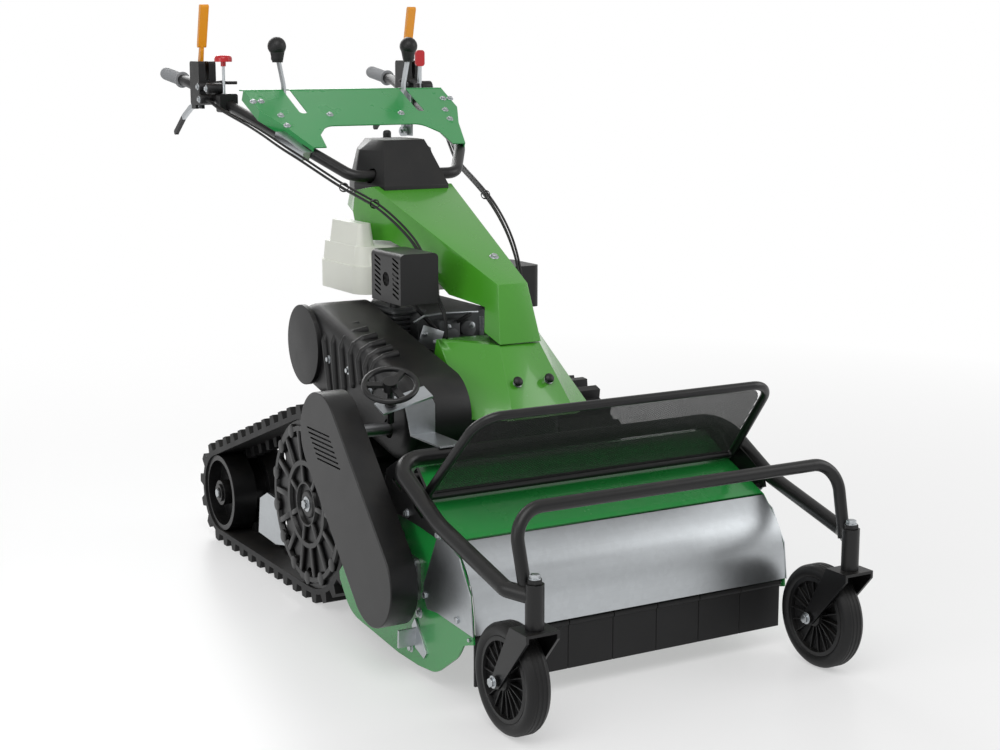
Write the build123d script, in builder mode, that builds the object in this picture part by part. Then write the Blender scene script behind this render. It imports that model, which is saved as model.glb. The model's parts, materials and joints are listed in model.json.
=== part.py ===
from build123d import *
from math import atan2, cos, degrees, hypot, pi, radians, sin, sqrt, tan
import os

# Tracked flail mower, walked behind. Millimetres. +Z up, the cutting deck faces -Y,
# X is the width. The origin is on the ground, on the centre plane, under the
# drive wheels' axle.

# ---- driving dimensions -------------------------------------------------------
running = 0.05            # radial clearance of a turning fit
seat_gap = 0.3            # gap between pieces that move past each other

# tracks
track_x = 307.0           # centre of each track from the middle of the machine
track_width = 180.0
lug_height = 22.0
lug_pitch = 60.0
lug_root = 34.0
lug_tip = 22.0
belt_thickness = 14.0
guide_height = 25.0
guide_width = 30.0
guide_length = 26.0
sprocket_outer = 245.0    # drive wheel radius out to the lug tips
idler_y = 602.0
idler_outer = 140.0       # idler radius out to the lug tips
axle_r = 20.0
idler_axle_r = 15.0

# cutting deck
deck_half = 402.0         # inside of each side plate
plate_t = 4.0
plate_corner_r = 105.0    # rounded lower corners of the side plates
sheet_t = 3.0
rotor_y = -575.0
rotor_z = 218.0
rotor_tube_r = 45.0
rotor_shaft_r = 17.5
pin_circle_r = 70.0
pin_r = 5.0
flail_length = 100.0
flail_count = 11
flap_rod_y = -842.0
flap_rod_z = 150.0
flap_rod_r = 4.0
flap_count = 7
flap_drop = 103.0

# belt drive to the rotor
guard_gap = 34.0          # from the deck side or the track to the guard
guard_depth = 65.0
guard_r = 101.0
guard_wall = 3.0
jackshaft_y = -320.0
jackshaft_z = 488.0
jackshaft_r = 15.0
upper_pulley_r = 82.0
lower_pulley_r = 72.0
belt_w = 34.0
belt_h = 10.0

# caster frame, casters and bumper
stem_x = 396.0
stem_y = -1080.0
stem_r = 12.5
housing_r = 19.0
housing_low = 242.0
housing_high = 333.0
frame_tube_d = 33.7
hoop_tube_d = 26.9
tube_wall = 2.5
wheel_r = 115.0
wheel_w = 52.0
wheel_trail = 85.0
rim_r = 88.0
wheel_axle_r = 6.0
fork_gap = 64.0           # between the fork's two arms
fork_t = 6.0
screen_tube_d = 20.0

# transmission, engine
cover_x = -330.0          # outer face of the ribbed transmission cover
cover_shell = 3.0
engine_z = 600.0          # crankshaft height

# handlebar
pivot_y = 232.0
pivot_z = 1022.0
bar_tube_d = 30.0
grip_d = 36.0
console_slope = 26.5      # degrees
console_y = 472.0         # a point on the console plate's upper face
console_z = 1175.0


def save(piece, name):
    """Label a finished piece and write it as its own STEP file."""
    piece.label = name
    export_step(piece, f"parts/{name}.step")


def group(*pieces):
    """Separate solids that share one node."""
    return Part(Compound(children=[solid for piece in pieces for solid in piece.solids()]).wrapped)


def tube(points, radii, outer_d, wall=0.0):
    """A round bar, or a tube with a wall, whose straight runs are joined by tangent bends."""
    first = Vector(*points[0])
    with BuildPart() as pipe:
        with BuildLine() as route:
            FilletPolyline(*points, radius=radii)
        with BuildSketch(Plane(origin=first, z_dir=Vector(*points[1]) - first)):
            Circle(outer_d / 2)
            if wall:
                Circle(outer_d / 2 - wall, mode=Mode.SUBTRACT)
        sweep(path=route.wire())
    return pipe.part


def x_bar(radius, x_from, x_to, y, z):
    """A round bar along X between two stations."""
    with BuildPart() as bar:
        with BuildSketch(Plane.YZ.offset(x_from)):
            with Locations((y, z)):
                Circle(radius)
        extrude(amount=x_to - x_from)
    return bar.part


def block(x_range, y_range, z_range):
    """A plain block between three pairs of limits."""
    with BuildPart() as solid:
        with BuildSketch(Plane.XY.offset(z_range[0])):
            with Locations(((x_range[0] + x_range[1]) / 2, (y_range[0] + y_range[1]) / 2)):
                Rectangle(x_range[1] - x_range[0], y_range[1] - y_range[0])
        extrude(amount=z_range[1] - z_range[0])
    return solid.part


def side_sheet(points, x_from, x_to, thickness):
    """A bent sheet whose side profile runs through the points, as wide as x_from to x_to."""
    with BuildPart() as sheet:
        with BuildSketch(Plane.YZ.offset(x_from)):
            with BuildLine():
                Polyline(*points)
            trace(line_width=thickness)
        extrude(amount=x_to - x_from)
    return sheet.part


os.makedirs("parts", exist_ok=True)

deck_out = deck_half + plate_t
side_reach = max(deck_out, track_x + track_width / 2)
guard_inner_x = -side_reach - guard_gap
guard_outer_x = guard_inner_x - guard_depth
belt_x = guard_inner_x - belt_w

# ---- tracks -------------------------------------------------------------------
sprocket_z = sprocket_outer
idler_z = idler_outer
belt_out_s = sprocket_outer - lug_height
belt_out_i = idler_outer - lug_height
belt_in_s = belt_out_s - belt_thickness
belt_in_i = belt_out_i - belt_thickness


def track_station(distance, r_front, r_rear):
    """Point and outward direction on the loop round both wheels, from the front wheel's low point."""
    span = hypot(idler_y, sprocket_z - idler_z)
    lean = atan2(idler_z - sprocket_z, idler_y)
    half = atan2(r_front - r_rear, sqrt(span ** 2 - (r_front - r_rear) ** 2))
    run = sqrt(span ** 2 - (r_front - r_rear) ** 2)
    low_angle = lean - pi / 2 + half
    high_angle = lean + pi / 2 - half
    rear_arc = (high_angle - low_angle) * r_rear
    front_arc = (2 * pi - (high_angle - low_angle)) * r_front
    total = 2 * run + rear_arc + front_arc
    d = distance % total
    if d < run:
        a = low_angle
        share = d / run
        y = share * idler_y + (r_front + share * (r_rear - r_front)) * cos(a)
        z = sprocket_z + share * (idler_z - sprocket_z) + (r_front + share * (r_rear - r_front)) * sin(a)
    elif d < run + rear_arc:
        a = low_angle + (d - run) / r_rear
        y = idler_y + r_rear * cos(a)
        z = idler_z + r_rear * sin(a)
    elif d < 2 * run + rear_arc:
        a = high_angle
        share = 1 - (d - run - rear_arc) / run
        y = share * idler_y + (r_front + share * (r_rear - r_front)) * cos(a)
        z = sprocket_z + share * (idler_z - sprocket_z) + (r_front + share * (r_rear - r_front)) * sin(a)
    else:
        a = high_angle + (d - 2 * run - rear_arc) / r_front
        y = r_front * cos(a)
        z = sprocket_z + r_front * sin(a)
    return y, z, degrees(a), total


loop_length = track_station(0, belt_out_s, belt_out_i)[3]
lug_count = round(loop_length / lug_pitch)
inner_length = track_station(0, belt_in_s, belt_in_i)[3]


def make_track(side):
    """One rubber track: the belt, its outer lugs and its inner guide blocks."""
    near = Plane.YZ.offset(side * track_x - track_width / 2)
    with BuildPart() as track:
        with BuildSketch(near):
            with Locations((0, sprocket_z)):
                Circle(belt_out_s)
            with Locations((idler_y, idler_z)):
                Circle(belt_out_i)
            make_hull()
        extrude(amount=track_width)
        with BuildSketch(near):
            for k in range(lug_count):
                y, z, turn, total = track_station((k + 0.5) * loop_length / lug_count, belt_out_s, belt_out_i)
                with Locations(Location((y, z, 0), (0, 0, turn))):
                    Polygon((-4, -lug_root / 2), (lug_height, -lug_tip / 2), (lug_height, lug_tip / 2),
                            (-4, lug_root / 2), align=None)
        extrude(amount=track_width)
        with BuildSketch(near):
            with Locations((0, sprocket_z)):
                Circle(belt_in_s)
            with Locations((idler_y, idler_z)):
                Circle(belt_in_i)
            make_hull()
        extrude(amount=track_width, mode=Mode.SUBTRACT)
        with BuildSketch(Plane.YZ.offset(side * track_x - guide_width / 2)):
            for k in range(lug_count):
                y, z, turn, total = track_station((k + 0.5) * inner_length / lug_count, belt_in_s, belt_in_i)
                with Locations(Location((y, z, 0), (0, 0, turn))):
                    Polygon((-guide_height, -guide_length / 3), (4, -guide_length / 2),
                            (4, guide_length / 2), (-guide_height, guide_length / 3), align=None)
        extrude(amount=guide_width)
    return track.part


wheel_in = track_x - track_width / 2 + 5      # inner face of the track wheels
wheel_out = track_x + track_width / 2 - 5     # outer face of the track wheels
sprocket_r = belt_in_s - seat_gap
idler_r = belt_in_i - seat_gap
disc_t = 8.0
beam_out = 205.0
beam_in = 165.0


def make_sprocket(side):
    """One drive wheel: two pierced discs joined by bars, on its axle shaft."""
    centre = (0, sprocket_z)
    with BuildPart() as wheel:
        for x_face in (wheel_out - disc_t, wheel_in):
            x_low = min(side * x_face, side * (x_face + disc_t))
            with BuildSketch(Plane.YZ.offset(x_low)):
                with Locations(centre):
                    Circle(sprocket_r)
                    with PolarLocations(sprocket_r * 0.84, 6, start_angle=30):
                        Circle(14, mode=Mode.SUBTRACT)
                for k in range(6):
                    SlotArc(CenterArc(centre, sprocket_r * 0.84, 60 * k - 16, 32), 20, mode=Mode.SUBTRACT)
                    SlotArc(CenterArc(centre, sprocket_r * 0.54, 60 * k + 16, 28), 15, mode=Mode.SUBTRACT)
            extrude(amount=disc_t)
        with BuildSketch(Plane.YZ.offset(min(side * wheel_in, side * wheel_out))):
            with Locations(centre):
                with PolarLocations(sprocket_r * 0.70, 12, start_angle=15):
                    Circle(7)
                Circle(46)
        extrude(amount=wheel_out - wheel_in)
        with BuildSketch(Plane.YZ.offset(side * (wheel_out + 4))):
            with Locations(centre):
                Circle(axle_r)
        extrude(amount=-side * (wheel_out + 4 - axle_inner))
    return wheel.part


def make_idler(side):
    """One idler: a drum with a central groove for the guide blocks and a dished outer face."""
    groove = guide_width / 2 + 5
    with BuildPart() as wheel:
        with BuildSketch(Plane.YZ.offset(side * wheel_in)):
            with Locations((idler_y, idler_z)):
                Circle(idler_r)
        extrude(amount=side * (track_x - groove - wheel_in))
        with BuildSketch(Plane.YZ.offset(side * (track_x - groove))):
            with Locations((idler_y, idler_z)):
                Circle(idler_r - guide_height - 5)
        extrude(amount=side * 2 * groove)
        with BuildSketch(Plane.YZ.offset(side * (track_x + groove))):
            with Locations((idler_y, idler_z)):
                Circle(idler_r)
        extrude(amount=side * (wheel_out - track_x - groove))
        with BuildSketch(Plane.YZ.offset(side * wheel_out)):
            with Locations((idler_y, idler_z)):
                Circle(idler_r - 14)
                Circle(34, mode=Mode.SUBTRACT)
        extrude(amount=-side * 36, mode=Mode.SUBTRACT)
        with BuildSketch(Plane.YZ.offset(side * wheel_in)):
            with Locations((idler_y, idler_z)):
                Circle(idler_axle_r + running)
        extrude(amount=side * (wheel_out - wheel_in), mode=Mode.SUBTRACT)
    return wheel.part


beam_low = 160.0
beam_high = 220.0
axle_inner = 120.0        # where the drive axles end, inside the axle housing


def make_track_frame(side):
    """The side beam inboard of one track, with the idler axle and the tension plate."""
    x_low = min(side * beam_in, side * beam_out)
    with BuildPart() as frame:
        with BuildSketch(Plane.YZ.offset(x_low)):
            with BuildLine():
                Polyline((-40, 200), (-40, 290), (50, 290), (150, beam_high), (idler_y - 60, beam_high - 30),
                         (idler_y + 40, idler_z + 30), (idler_y + 40, idler_z - 30),
                         (idler_y - 80, beam_low - 40), (60, beam_low), close=True)
            make_face()
        extrude(amount=beam_out - beam_in)
        with BuildSketch(Plane.YZ.offset(side * beam_out)):
            with Locations((idler_y, idler_z)):
                Circle(idler_axle_r)
        extrude(amount=side * (wheel_out + 8 - beam_out))
        with BuildSketch(Plane.YZ.offset(side * wheel_out + side * 0.5)):
            with Locations((idler_y, idler_z)):
                Circle(24)
        extrude(amount=side * 5)
        with BuildSketch(Plane.YZ.offset(side * beam_out)):
            with Locations((275, 170)):
                Rectangle(60, 8)
        extrude(amount=side * (wheel_out - 20 - beam_out))
        with BuildSketch(Plane.YZ.offset(side * (wheel_out - 20))):
            with BuildLine():
                Polyline((190, 90), (250, 78), (365, 84), (350, 180), (300, 205), (225, 200), close=True)
            make_face()
        extrude(amount=side * 6)
        with BuildSketch(Plane.YZ.offset(x_low)):
            with Locations((0, sprocket_z)):
                Circle(axle_r + running)
        extrude(amount=beam_out - beam_in, mode=Mode.SUBTRACT)
    return frame.part


for side, word in ((-1, "left"), (1, "right")):
    save(make_track(side), f"track_{word}")
    save(make_sprocket(side), f"drive_wheel_{word}")
    save(make_idler(side), f"idler_{word}")

save(group(make_track_frame(-1), make_track_frame(1)), "track_frames")

# ---- chassis: axle housing, rails, gearbox ------------------------------------
housing_half = 150.0
with BuildPart() as axle_housing:
    with BuildSketch(Plane.YZ.offset(-housing_half)):
        with Locations((0, sprocket_z)):
            Circle(75)
        with Locations((-30, 400)):
            Circle(70)
        make_hull()
    extrude(amount=2 * housing_half)
    with BuildSketch(Plane.YZ.offset(-beam_in)):
        with Locations((0, sprocket_z)):
            Circle(38)
    extrude(amount=2 * beam_in)
    for side in (-1, 1):
        with BuildSketch(Plane.YZ.offset(side * beam_in)):
            with Locations((0, sprocket_z)):
                Circle(axle_r + running)
        extrude(amount=-side * (beam_in - axle_inner + seat_gap), mode=Mode.SUBTRACT)
save(axle_housing.part, "axle_housing")

rail_low = 480.0
rail_high = 520.0
hood_peak = (-481.0, 433.0)
hood_tail = (-300.0, 226.0)


def hood_point(share):
    """A point on the outer face of the hood's rear slope, a share of the way down it."""
    run_y, run_z = hood_tail[0] - hood_peak[0], hood_tail[1] - hood_peak[1]
    length = hypot(run_y, run_z)
    half = sheet_t / 2
    return (hood_peak[0] + share * run_y - half * run_z / length,
            hood_peak[1] + share * run_z + half * run_y / length)


with BuildPart() as chassis_frame:
    for side in (-1, 1):
        with BuildSketch(Plane.XY.offset(rail_low)):
            with Locations((side * 125, 30)):
                Rectangle(40, 560)
        extrude(amount=rail_high - rail_low)
    with BuildSketch(Plane.XY.offset(rail_low)):
        with Locations((0, -30)):
            Rectangle(290, 60)
        with Locations((0, 285)):
            Rectangle(290, 50)
    extrude(amount=rail_high - rail_low)
    with BuildSketch(Plane.XY.offset(rail_low)):
        with Locations((0, -30)):
            Rectangle(120, 60)
    extrude(amount=-10)
    with BuildSketch(Plane.XY.offset(rail_high)):
        with Locations((0, 140)):
            Rectangle(320, 340)
    extrude(amount=8)
    with BuildSketch(Plane.YZ.offset(-145)):
        with Locations((-150, 512)):
            Circle(6)
    extrude(amount=cover_x + cover_shell + 145)
    add(block((-160, -154), (80, 130), (rail_high, rail_high + 78)))
    with BuildSketch(Plane.YZ.offset(-160)):
        with Locations((105, rail_high + 66)):
            Circle(6)
    extrude(amount=cover_x + cover_shell + 160)
    for side in (-1, 1):
        with BuildSketch(Plane.YZ.offset(side * 105)):
            with BuildLine():
                Polyline((-250, rail_high), (-250, rail_low), hood_point(0.82), hood_point(0.45),
                         (-300, rail_high),
                         close=True)
            make_face()
            with Locations((jackshaft_y, jackshaft_z)):
                Circle(jackshaft_r + 8, mode=Mode.SUBTRACT)
        extrude(amount=side * 8)
save(chassis_frame.part, "chassis_frame")
engine_deck = rail_high + 8

with BuildPart() as gearbox:
    with BuildSketch(Plane.XY.offset(rail_low - 90)):
        with Locations((0, -290)):
            RectangleRounded(190, 190, 20)
    extrude(amount=170)
    add(block((-105, 105), (-245, -205), (rail_low + 6, rail_high - 6)))
    with BuildSketch(Plane.XZ.offset(200)):
        with Locations((0, rail_low + 10)):
            Circle(46)
    extrude(amount=-40)
    with BuildSketch(Plane.YZ.offset(-105)):
        with Locations((jackshaft_y, jackshaft_z)):
            Circle(38)
    extrude(amount=25)
    with BuildSketch(Plane.YZ.offset(-111)):
        with Locations((jackshaft_y, jackshaft_z)):
            Circle(jackshaft_r + running)
    extrude(amount=60, mode=Mode.SUBTRACT)

# ---- cutting deck -------------------------------------------------------------
deflector_line = [(-857, 162), (-854, 200), (-845, 244), (-826, 281), (-800, 312), (-772, 338)]
hood_line = [(-768, 341), (-756, 347), (-633, 396), (-540, 445), hood_peak, hood_tail, (-290, 130)]

hood = side_sheet(hood_line, -deck_half, deck_half, sheet_t)
with BuildPart() as deck_hood:
    add(hood)
save(deck_hood.part, "deck_hood")

with BuildPart() as deflector:
    with BuildSketch(Plane.YZ.offset(-deck_half)):
        with BuildLine():
            Spline(*deflector_line)
        trace(line_width=2.5)
    extrude(amount=2 * deck_half)
    for side in (-1, 1):
        with BuildSketch(Plane.YZ.offset(side * (deck_out))):
            with BuildLine():
                Polyline((-857, 160), (-700, 168), (-655, 164), (-640, 190), (-640, 215), (-700, 330),
                         (-745, 340), (-800, 312), (-845, 244), close=True)
            make_face()
        extrude(amount=side * 2.5)
    add(hood, mode=Mode.SUBTRACT)
save(deflector.part, "deflector")

deck_plates = []
for side in (-1, 1):
    with BuildPart() as plate:
        with BuildSketch(Plane.YZ.offset(side * deck_half)):
            with BuildLine():
                Polyline((-853, 165), (-850, 200), (-841, 244), (-822, 281), (-796, 312), (-768, 340),
                         (-633, 395), (-540, 446), (-481, 433), (-292, 220), (-204, 130), (-206, 112),
                         (-262, 44), (-511, 22), (-607, 22), (-691, 30), (-790, 96), (-812, 128),
                         (flap_rod_y + 8, flap_rod_z - 14), (flap_rod_y - 13, flap_rod_z - 8), close=True)
            make_face()
            with Locations((rotor_y, rotor_z)):
                Circle(30, mode=Mode.SUBTRACT)
        extrude(amount=side * plate_t)
        fillet([edge for edge in plate.edges().filter_by(Axis.X) if edge.center().Z < 100], plate_corner_r)
        with BuildSketch(Plane.YZ.offset(side * deck_half)):
            with Locations((flap_rod_y, flap_rod_z)):
                Circle(flap_rod_r)
        extrude(amount=side * plate_t, mode=Mode.SUBTRACT)
    deck_plates.append(plate.part)
save(group(*deck_plates), "deck_sides")

with BuildPart() as flap_rod:
    with BuildSketch(Plane.YZ.offset(-deck_out - 6)):
        with Locations((flap_rod_y, flap_rod_z)):
            Circle(flap_rod_r)
    extrude(amount=2 * (deck_out + 6))

flap_pitch = (2 * deck_half - 8) / flap_count
flap_t = 6.0
with BuildPart() as front_flaps:
    for k in range(flap_count):
        x_low = -deck_half + 4 + k * flap_pitch + 1.0
        with BuildSketch(Plane.YZ.offset(x_low)):
            with Locations((flap_rod_y, flap_rod_z)):
                Circle(flap_rod_r + 4)
            with Locations((flap_rod_y, flap_rod_z - flap_drop / 2)):
                Rectangle(flap_t, flap_drop)
            with Locations((flap_rod_y, flap_rod_z)):
                Circle(flap_rod_r + running, mode=Mode.SUBTRACT)
        extrude(amount=flap_pitch - 2.0)
save(front_flaps.part, "front_flaps")

# rotor, its flails and bearings
ear_t = 6.0
ear_pitch = 68.0
flail_t = 12.0
pin_ys = (rotor_y - pin_circle_r, rotor_y + pin_circle_r)


def flail_stations():
    """X of each flail's middle along its pin."""
    return [(k - (flail_count - 1) / 2) * ear_pitch for k in range(flail_count)]


with BuildPart() as rotor:
    with BuildSketch(Plane.YZ.offset(-deck_half + 12)):
        with Locations((rotor_y, rotor_z)):
            Circle(rotor_tube_r)
    extrude(amount=2 * (deck_half - 12))
    with BuildSketch(Plane.YZ.offset(guard_outer_x + guard_wall + 2)):
        with Locations((rotor_y, rotor_z)):
            Circle(rotor_shaft_r)
    extrude(amount=deck_out + 26 - (guard_outer_x + guard_wall + 2))
    for pin_y in pin_ys:
        with BuildSketch(Plane.YZ.offset(-deck_half + 30)):
            with Locations((pin_y, rotor_z)):
                Circle(pin_r)
        extrude(amount=2 * (deck_half - 30))
    for k in range(flail_count + 1):
        x_ear = (k - flail_count / 2) * ear_pitch
        with BuildSketch(Plane.YZ.offset(x_ear - ear_t / 2)):
            for pin_y in pin_ys:
                with Locations((pin_y, rotor_z)):
                    Circle(pin_r + 7)
            make_hull()
        extrude(amount=ear_t)
save(rotor.part, "rotor")

for pin_y, word in zip(pin_ys, ("front", "rear")):
    with BuildPart() as flails:
        for x_mid in flail_stations():
            with BuildSketch(Plane.YZ.offset(x_mid - flail_t / 2)):
                with Locations((pin_y, rotor_z)):
                    Circle(pin_r + 8)
                with Locations((pin_y, rotor_z - flail_length + 15)):
                    Rectangle(30, 30)
                make_hull()
                with Locations((pin_y, rotor_z)):
                    Circle(pin_r + running, mode=Mode.SUBTRACT)
            extrude(amount=flail_t)
    save(flails.part, f"flails_{word}")

with BuildPart() as rotor_bearings:
    for side in (-1, 1):
        with BuildSketch(Plane.YZ.offset(side * (deck_out))):
            with Locations((rotor_y, rotor_z)):
                RectangleRounded(96, 96, 18)
        extrude(amount=side * 8)
        with BuildSketch(Plane.YZ.offset(side * (deck_out + 8))):
            with Locations((rotor_y, rotor_z)):
                Circle(34)
        extrude(amount=side * 14)
        with BuildSketch(Plane.YZ.offset(side * (deck_out))):
            with Locations((rotor_y, rotor_z)):
                Circle(rotor_shaft_r + running)
        extrude(amount=side * 22, mode=Mode.SUBTRACT)
save(rotor_bearings.part, "rotor_bearings")

# belt drive
belt_from = belt_x - belt_w / 2


def make_pulley(radius, bore_r, y, z):
    """A flat-groove pulley: two flanges either side of the belt, bored for its shaft."""
    with BuildPart() as pulley:
        with BuildSketch(Plane.YZ.offset(belt_from - 6)):
            with Locations((y, z)):
                Circle(radius + 4)
        extrude(amount=belt_w + 12)
        with BuildSketch(Plane.YZ.offset(belt_from - 1)):
            with Locations((y, z)):
                Circle(radius + 5)
                Circle(radius - belt_h - seat_gap, mode=Mode.SUBTRACT)
        extrude(amount=belt_w + 2, mode=Mode.SUBTRACT)
        with BuildSketch(Plane.YZ.offset(belt_from - 6)):
            with Locations((y, z)):
                Circle(bore_r)
        extrude(amount=belt_w + 12, mode=Mode.SUBTRACT)
    return pulley.part


save(make_pulley(lower_pulley_r, rotor_shaft_r, rotor_y, rotor_z), "lower_pulley")
save(make_pulley(upper_pulley_r, jackshaft_r, jackshaft_y, jackshaft_z), "upper_pulley")
save(x_bar(jackshaft_r, guard_outer_x + guard_wall + 4, -60, jackshaft_y, jackshaft_z), "jackshaft")

with BuildPart() as drive_belt:
    with BuildSketch(Plane.YZ.offset(belt_from)):
        with Locations((rotor_y, rotor_z)):
            Circle(lower_pulley_r)
        with Locations((jackshaft_y, jackshaft_z)):
            Circle(upper_pulley_r)
        make_hull()
    extrude(amount=belt_w)
    with BuildSketch(Plane.YZ.offset(belt_from)):
        with Locations((rotor_y, rotor_z)):
            Circle(lower_pulley_r - belt_h)
        with Locations((jackshaft_y, jackshaft_z)):
            Circle(upper_pulley_r - belt_h)
        make_hull()
    extrude(amount=belt_w, mode=Mode.SUBTRACT)
save(drive_belt.part, "drive_belt")

vent_count = 7
vent_pitch = 10.4
with BuildPart() as belt_guard:
    with BuildSketch(Plane.YZ.offset(guard_outer_x)):
        with Locations((rotor_y, rotor_z), (jackshaft_y, jackshaft_z)):
            Circle(guard_r)
        make_hull()
    extrude(amount=guard_depth)
    with BuildSketch(Plane.YZ.offset(guard_outer_x + guard_wall)):
        with Locations((rotor_y, rotor_z), (jackshaft_y, jackshaft_z)):
            Circle(guard_r - guard_wall)
        make_hull()
    extrude(amount=guard_depth - 2 * guard_wall, mode=Mode.SUBTRACT)
    with BuildSketch(Plane.YZ.offset(guard_outer_x)):
        for k in range(vent_count):
            with Locations((jackshaft_y - k * 9 + 2, jackshaft_z + 11 - k * vent_pitch)):
                SlotOverall(122, 4)
    extrude(amount=guard_wall, mode=Mode.SUBTRACT)
    with BuildSketch(Plane.YZ.offset(guard_inner_x - guard_wall)):
        with Locations((rotor_y, rotor_z)):
            Circle(rotor_shaft_r + 8)
        with Locations((jackshaft_y, jackshaft_z)):
            Circle(jackshaft_r + 8)
    extrude(amount=guard_wall, mode=Mode.SUBTRACT)
    with BuildSketch(Plane.YZ.offset(guard_inner_x)):
        with Locations((-540, 300), (-470, 240)):
            Circle(10)
    extrude(amount=-deck_out - guard_inner_x)
    fillet(belt_guard.part.faces().filter_by(Plane.YZ).sort_by(Axis.X)[0].outer_wire().edges(), 2.5)
save(belt_guard.part, "belt_guard")

# ---- caster frame, bumper and mesh screen -------------------------------------
cross_y = -560.0
cross_z = 474.0
arm_route = [(-stem_x, stem_y, 306), (-426, stem_y + 60, 311), (-431, stem_y + 323, 377),
             (-438, cross_y, cross_z),
             (438, cross_y, cross_z), (431, stem_y + 323, 377), (426, stem_y + 60, 311), (stem_x, stem_y, 306)]
with BuildPart() as caster_frame:
    add(tube(arm_route, [28, 160, 62, 62, 160, 28], frame_tube_d, tube_wall))
    for side in (-1, 1):
        with BuildSketch(Plane.XY.offset(housing_low)):
            with Locations((side * stem_x, stem_y)):
                Circle(housing_r)
        extrude(amount=housing_high - housing_low)
        with BuildSketch(Plane.YZ.offset(side * (deck_out + 8))):
            with BuildLine():
                Polyline((-760, 352), (-720, 338), (-650, 345), (-560, 350), (-480, 345), (-468, 372),
                         (-490, 440), (-560, 478), (-700, 410), (-752, 382), close=True)
            make_face()
            with Locations(Location((-640, 378, 0), (0, 0, 24)), Location((-540, 415, 0), (0, 0, 24))):
                SlotOverall(46, 11, mode=Mode.SUBTRACT)
        extrude(amount=side * 6)
        with BuildSketch(Plane.YZ.offset(side * deck_out)):
            with Locations((-735, 349), (-590, 362)):
                Circle(8)
        extrude(amount=side * 10)
        with BuildSketch(Plane.XY.offset(housing_low)):
            with Locations((side * stem_x, stem_y)):
                Circle(stem_r + running)
        extrude(amount=housing_high - housing_low, mode=Mode.SUBTRACT)
save(caster_frame.part, "caster_frame")

hoop_y = -1014.0
hoop_z = 465.0
hoop_route = [(-stem_x - 4, stem_y + 26, 305), (-stem_x - 10, hoop_y, hoop_z), (stem_x + 10, hoop_y, hoop_z),
              (stem_x + 4, stem_y + 26, 305)]
with BuildPart() as bumper_hoop:
    add(tube(hoop_route, [62, 62], hoop_tube_d, tube_wall))
    add(caster_frame.part, mode=Mode.SUBTRACT)
hoop_main = bumper_hoop.part.solids().sort_by(SortBy.VOLUME)[-1]
save(Part(hoop_main.wrapped), "bumper_hoop")

screen_low = Vector(0, -646, 410)
screen_high = Vector(0, -825, 609)
screen_half_low = 405.0
screen_half_high = 374.0
screen_route = [(-360, -646, 410), (-screen_half_low, -646, 410), (-screen_half_high, -825, 609),
                (screen_half_high, -825, 609), (screen_half_low, -646, 410), (360, -646, 410)]
with BuildPart() as screen_frame:
    add(tube(screen_route, [14, 60, 60, 14], screen_tube_d, tube_wall))
    with BuildSketch(Plane.YZ.offset(-361)):
        with Locations((screen_low.Y, screen_low.Z)):
            Circle(screen_tube_d / 2)
    extrude(amount=722)
    for side in (-1, 1):
        with BuildSketch(Plane.YZ.offset(side * (screen_half_low - 8))):
            with BuildLine():
                Polyline((-652, 402), (-652, 418), (-640, 424), (-600, 462), (-588, 452), (-630, 402),
                         close=True)
            make_face()
        extrude(amount=side * 6)
        with BuildSketch(Plane.YZ.offset(side * (screen_half_low - 8))):
            with Locations((-606, 446)):
                Circle(7)
        extrude(amount=side * (stem_x + 40 - screen_half_low + 8))
    add(caster_frame.part, mode=Mode.SUBTRACT)
frame_main = screen_frame.part.solids().sort_by(SortBy.VOLUME)[-1]
save(Part(frame_main.wrapped), "screen_frame")

mesh_margin = screen_tube_d / 2 + seat_gap
slope_run = screen_high - screen_low
slope_length = slope_run.length
screen_plane = Plane(origin=screen_low, x_dir=(1, 0, 0), z_dir=(0, -slope_run.Z, slope_run.Y))
with BuildPart() as screen_mesh:
    with BuildSketch(screen_plane):
        with BuildLine():
            FilletPolyline((-screen_half_low + 16, mesh_margin), (screen_half_low - 16, mesh_margin),
                           (screen_half_high - 16, slope_length - mesh_margin),
                           (-screen_half_high + 16, slope_length - mesh_margin), radius=[3, 3, 50, 50], close=True)
        make_face()
    extrude(amount=0.75, both=True)
save(screen_mesh.part, "screen_mesh")

crown_top = housing_low - seat_gap
axle_y = stem_y + wheel_trail


def make_fork(side):
    """One caster fork with its stem, top cap and axle bolt."""
    x_mid = side * stem_x
    half_gap = fork_gap / 2
    with BuildPart() as fork:
        with BuildSketch(Plane.XY.offset(crown_top)):
            with Locations((x_mid, stem_y)):
                Circle(stem_r)
        extrude(amount=housing_high + seat_gap - crown_top)
        with BuildSketch(Plane.XY.offset(housing_high + seat_gap)):
            with Locations((x_mid, stem_y)):
                RegularPolygon(16, 6)
        extrude(amount=9)
        with BuildSketch(Plane.XY.offset(crown_top)):
            with Locations((x_mid, stem_y)):
                Rectangle(fork_gap + 2 * fork_t, 64)
        extrude(amount=-6)
        for x_low in (x_mid - half_gap - fork_t, x_mid + half_gap):
            with BuildSketch(Plane.YZ.offset(x_low)):
                with Locations((axle_y, wheel_r)):
                    Circle(16)
                with Locations((stem_y, crown_top - 8)):
                    Rectangle(64, 16)
                make_hull()
            extrude(amount=fork_t)
        with BuildSketch(Plane.YZ.offset(x_mid - half_gap - fork_t - 6)):
            with Locations((axle_y, wheel_r)):
                Circle(wheel_axle_r)
        extrude(amount=fork_gap + 2 * fork_t + 12)
        for x_face, way in ((x_mid - half_gap - fork_t, -1), (x_mid + half_gap + fork_t, 1)):
            with BuildSketch(Plane.YZ.offset(x_face)):
                with Locations((axle_y, wheel_r)):
                    RegularPolygon(10, 6)
            extrude(amount=way * 6)
    return fork.part


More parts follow.
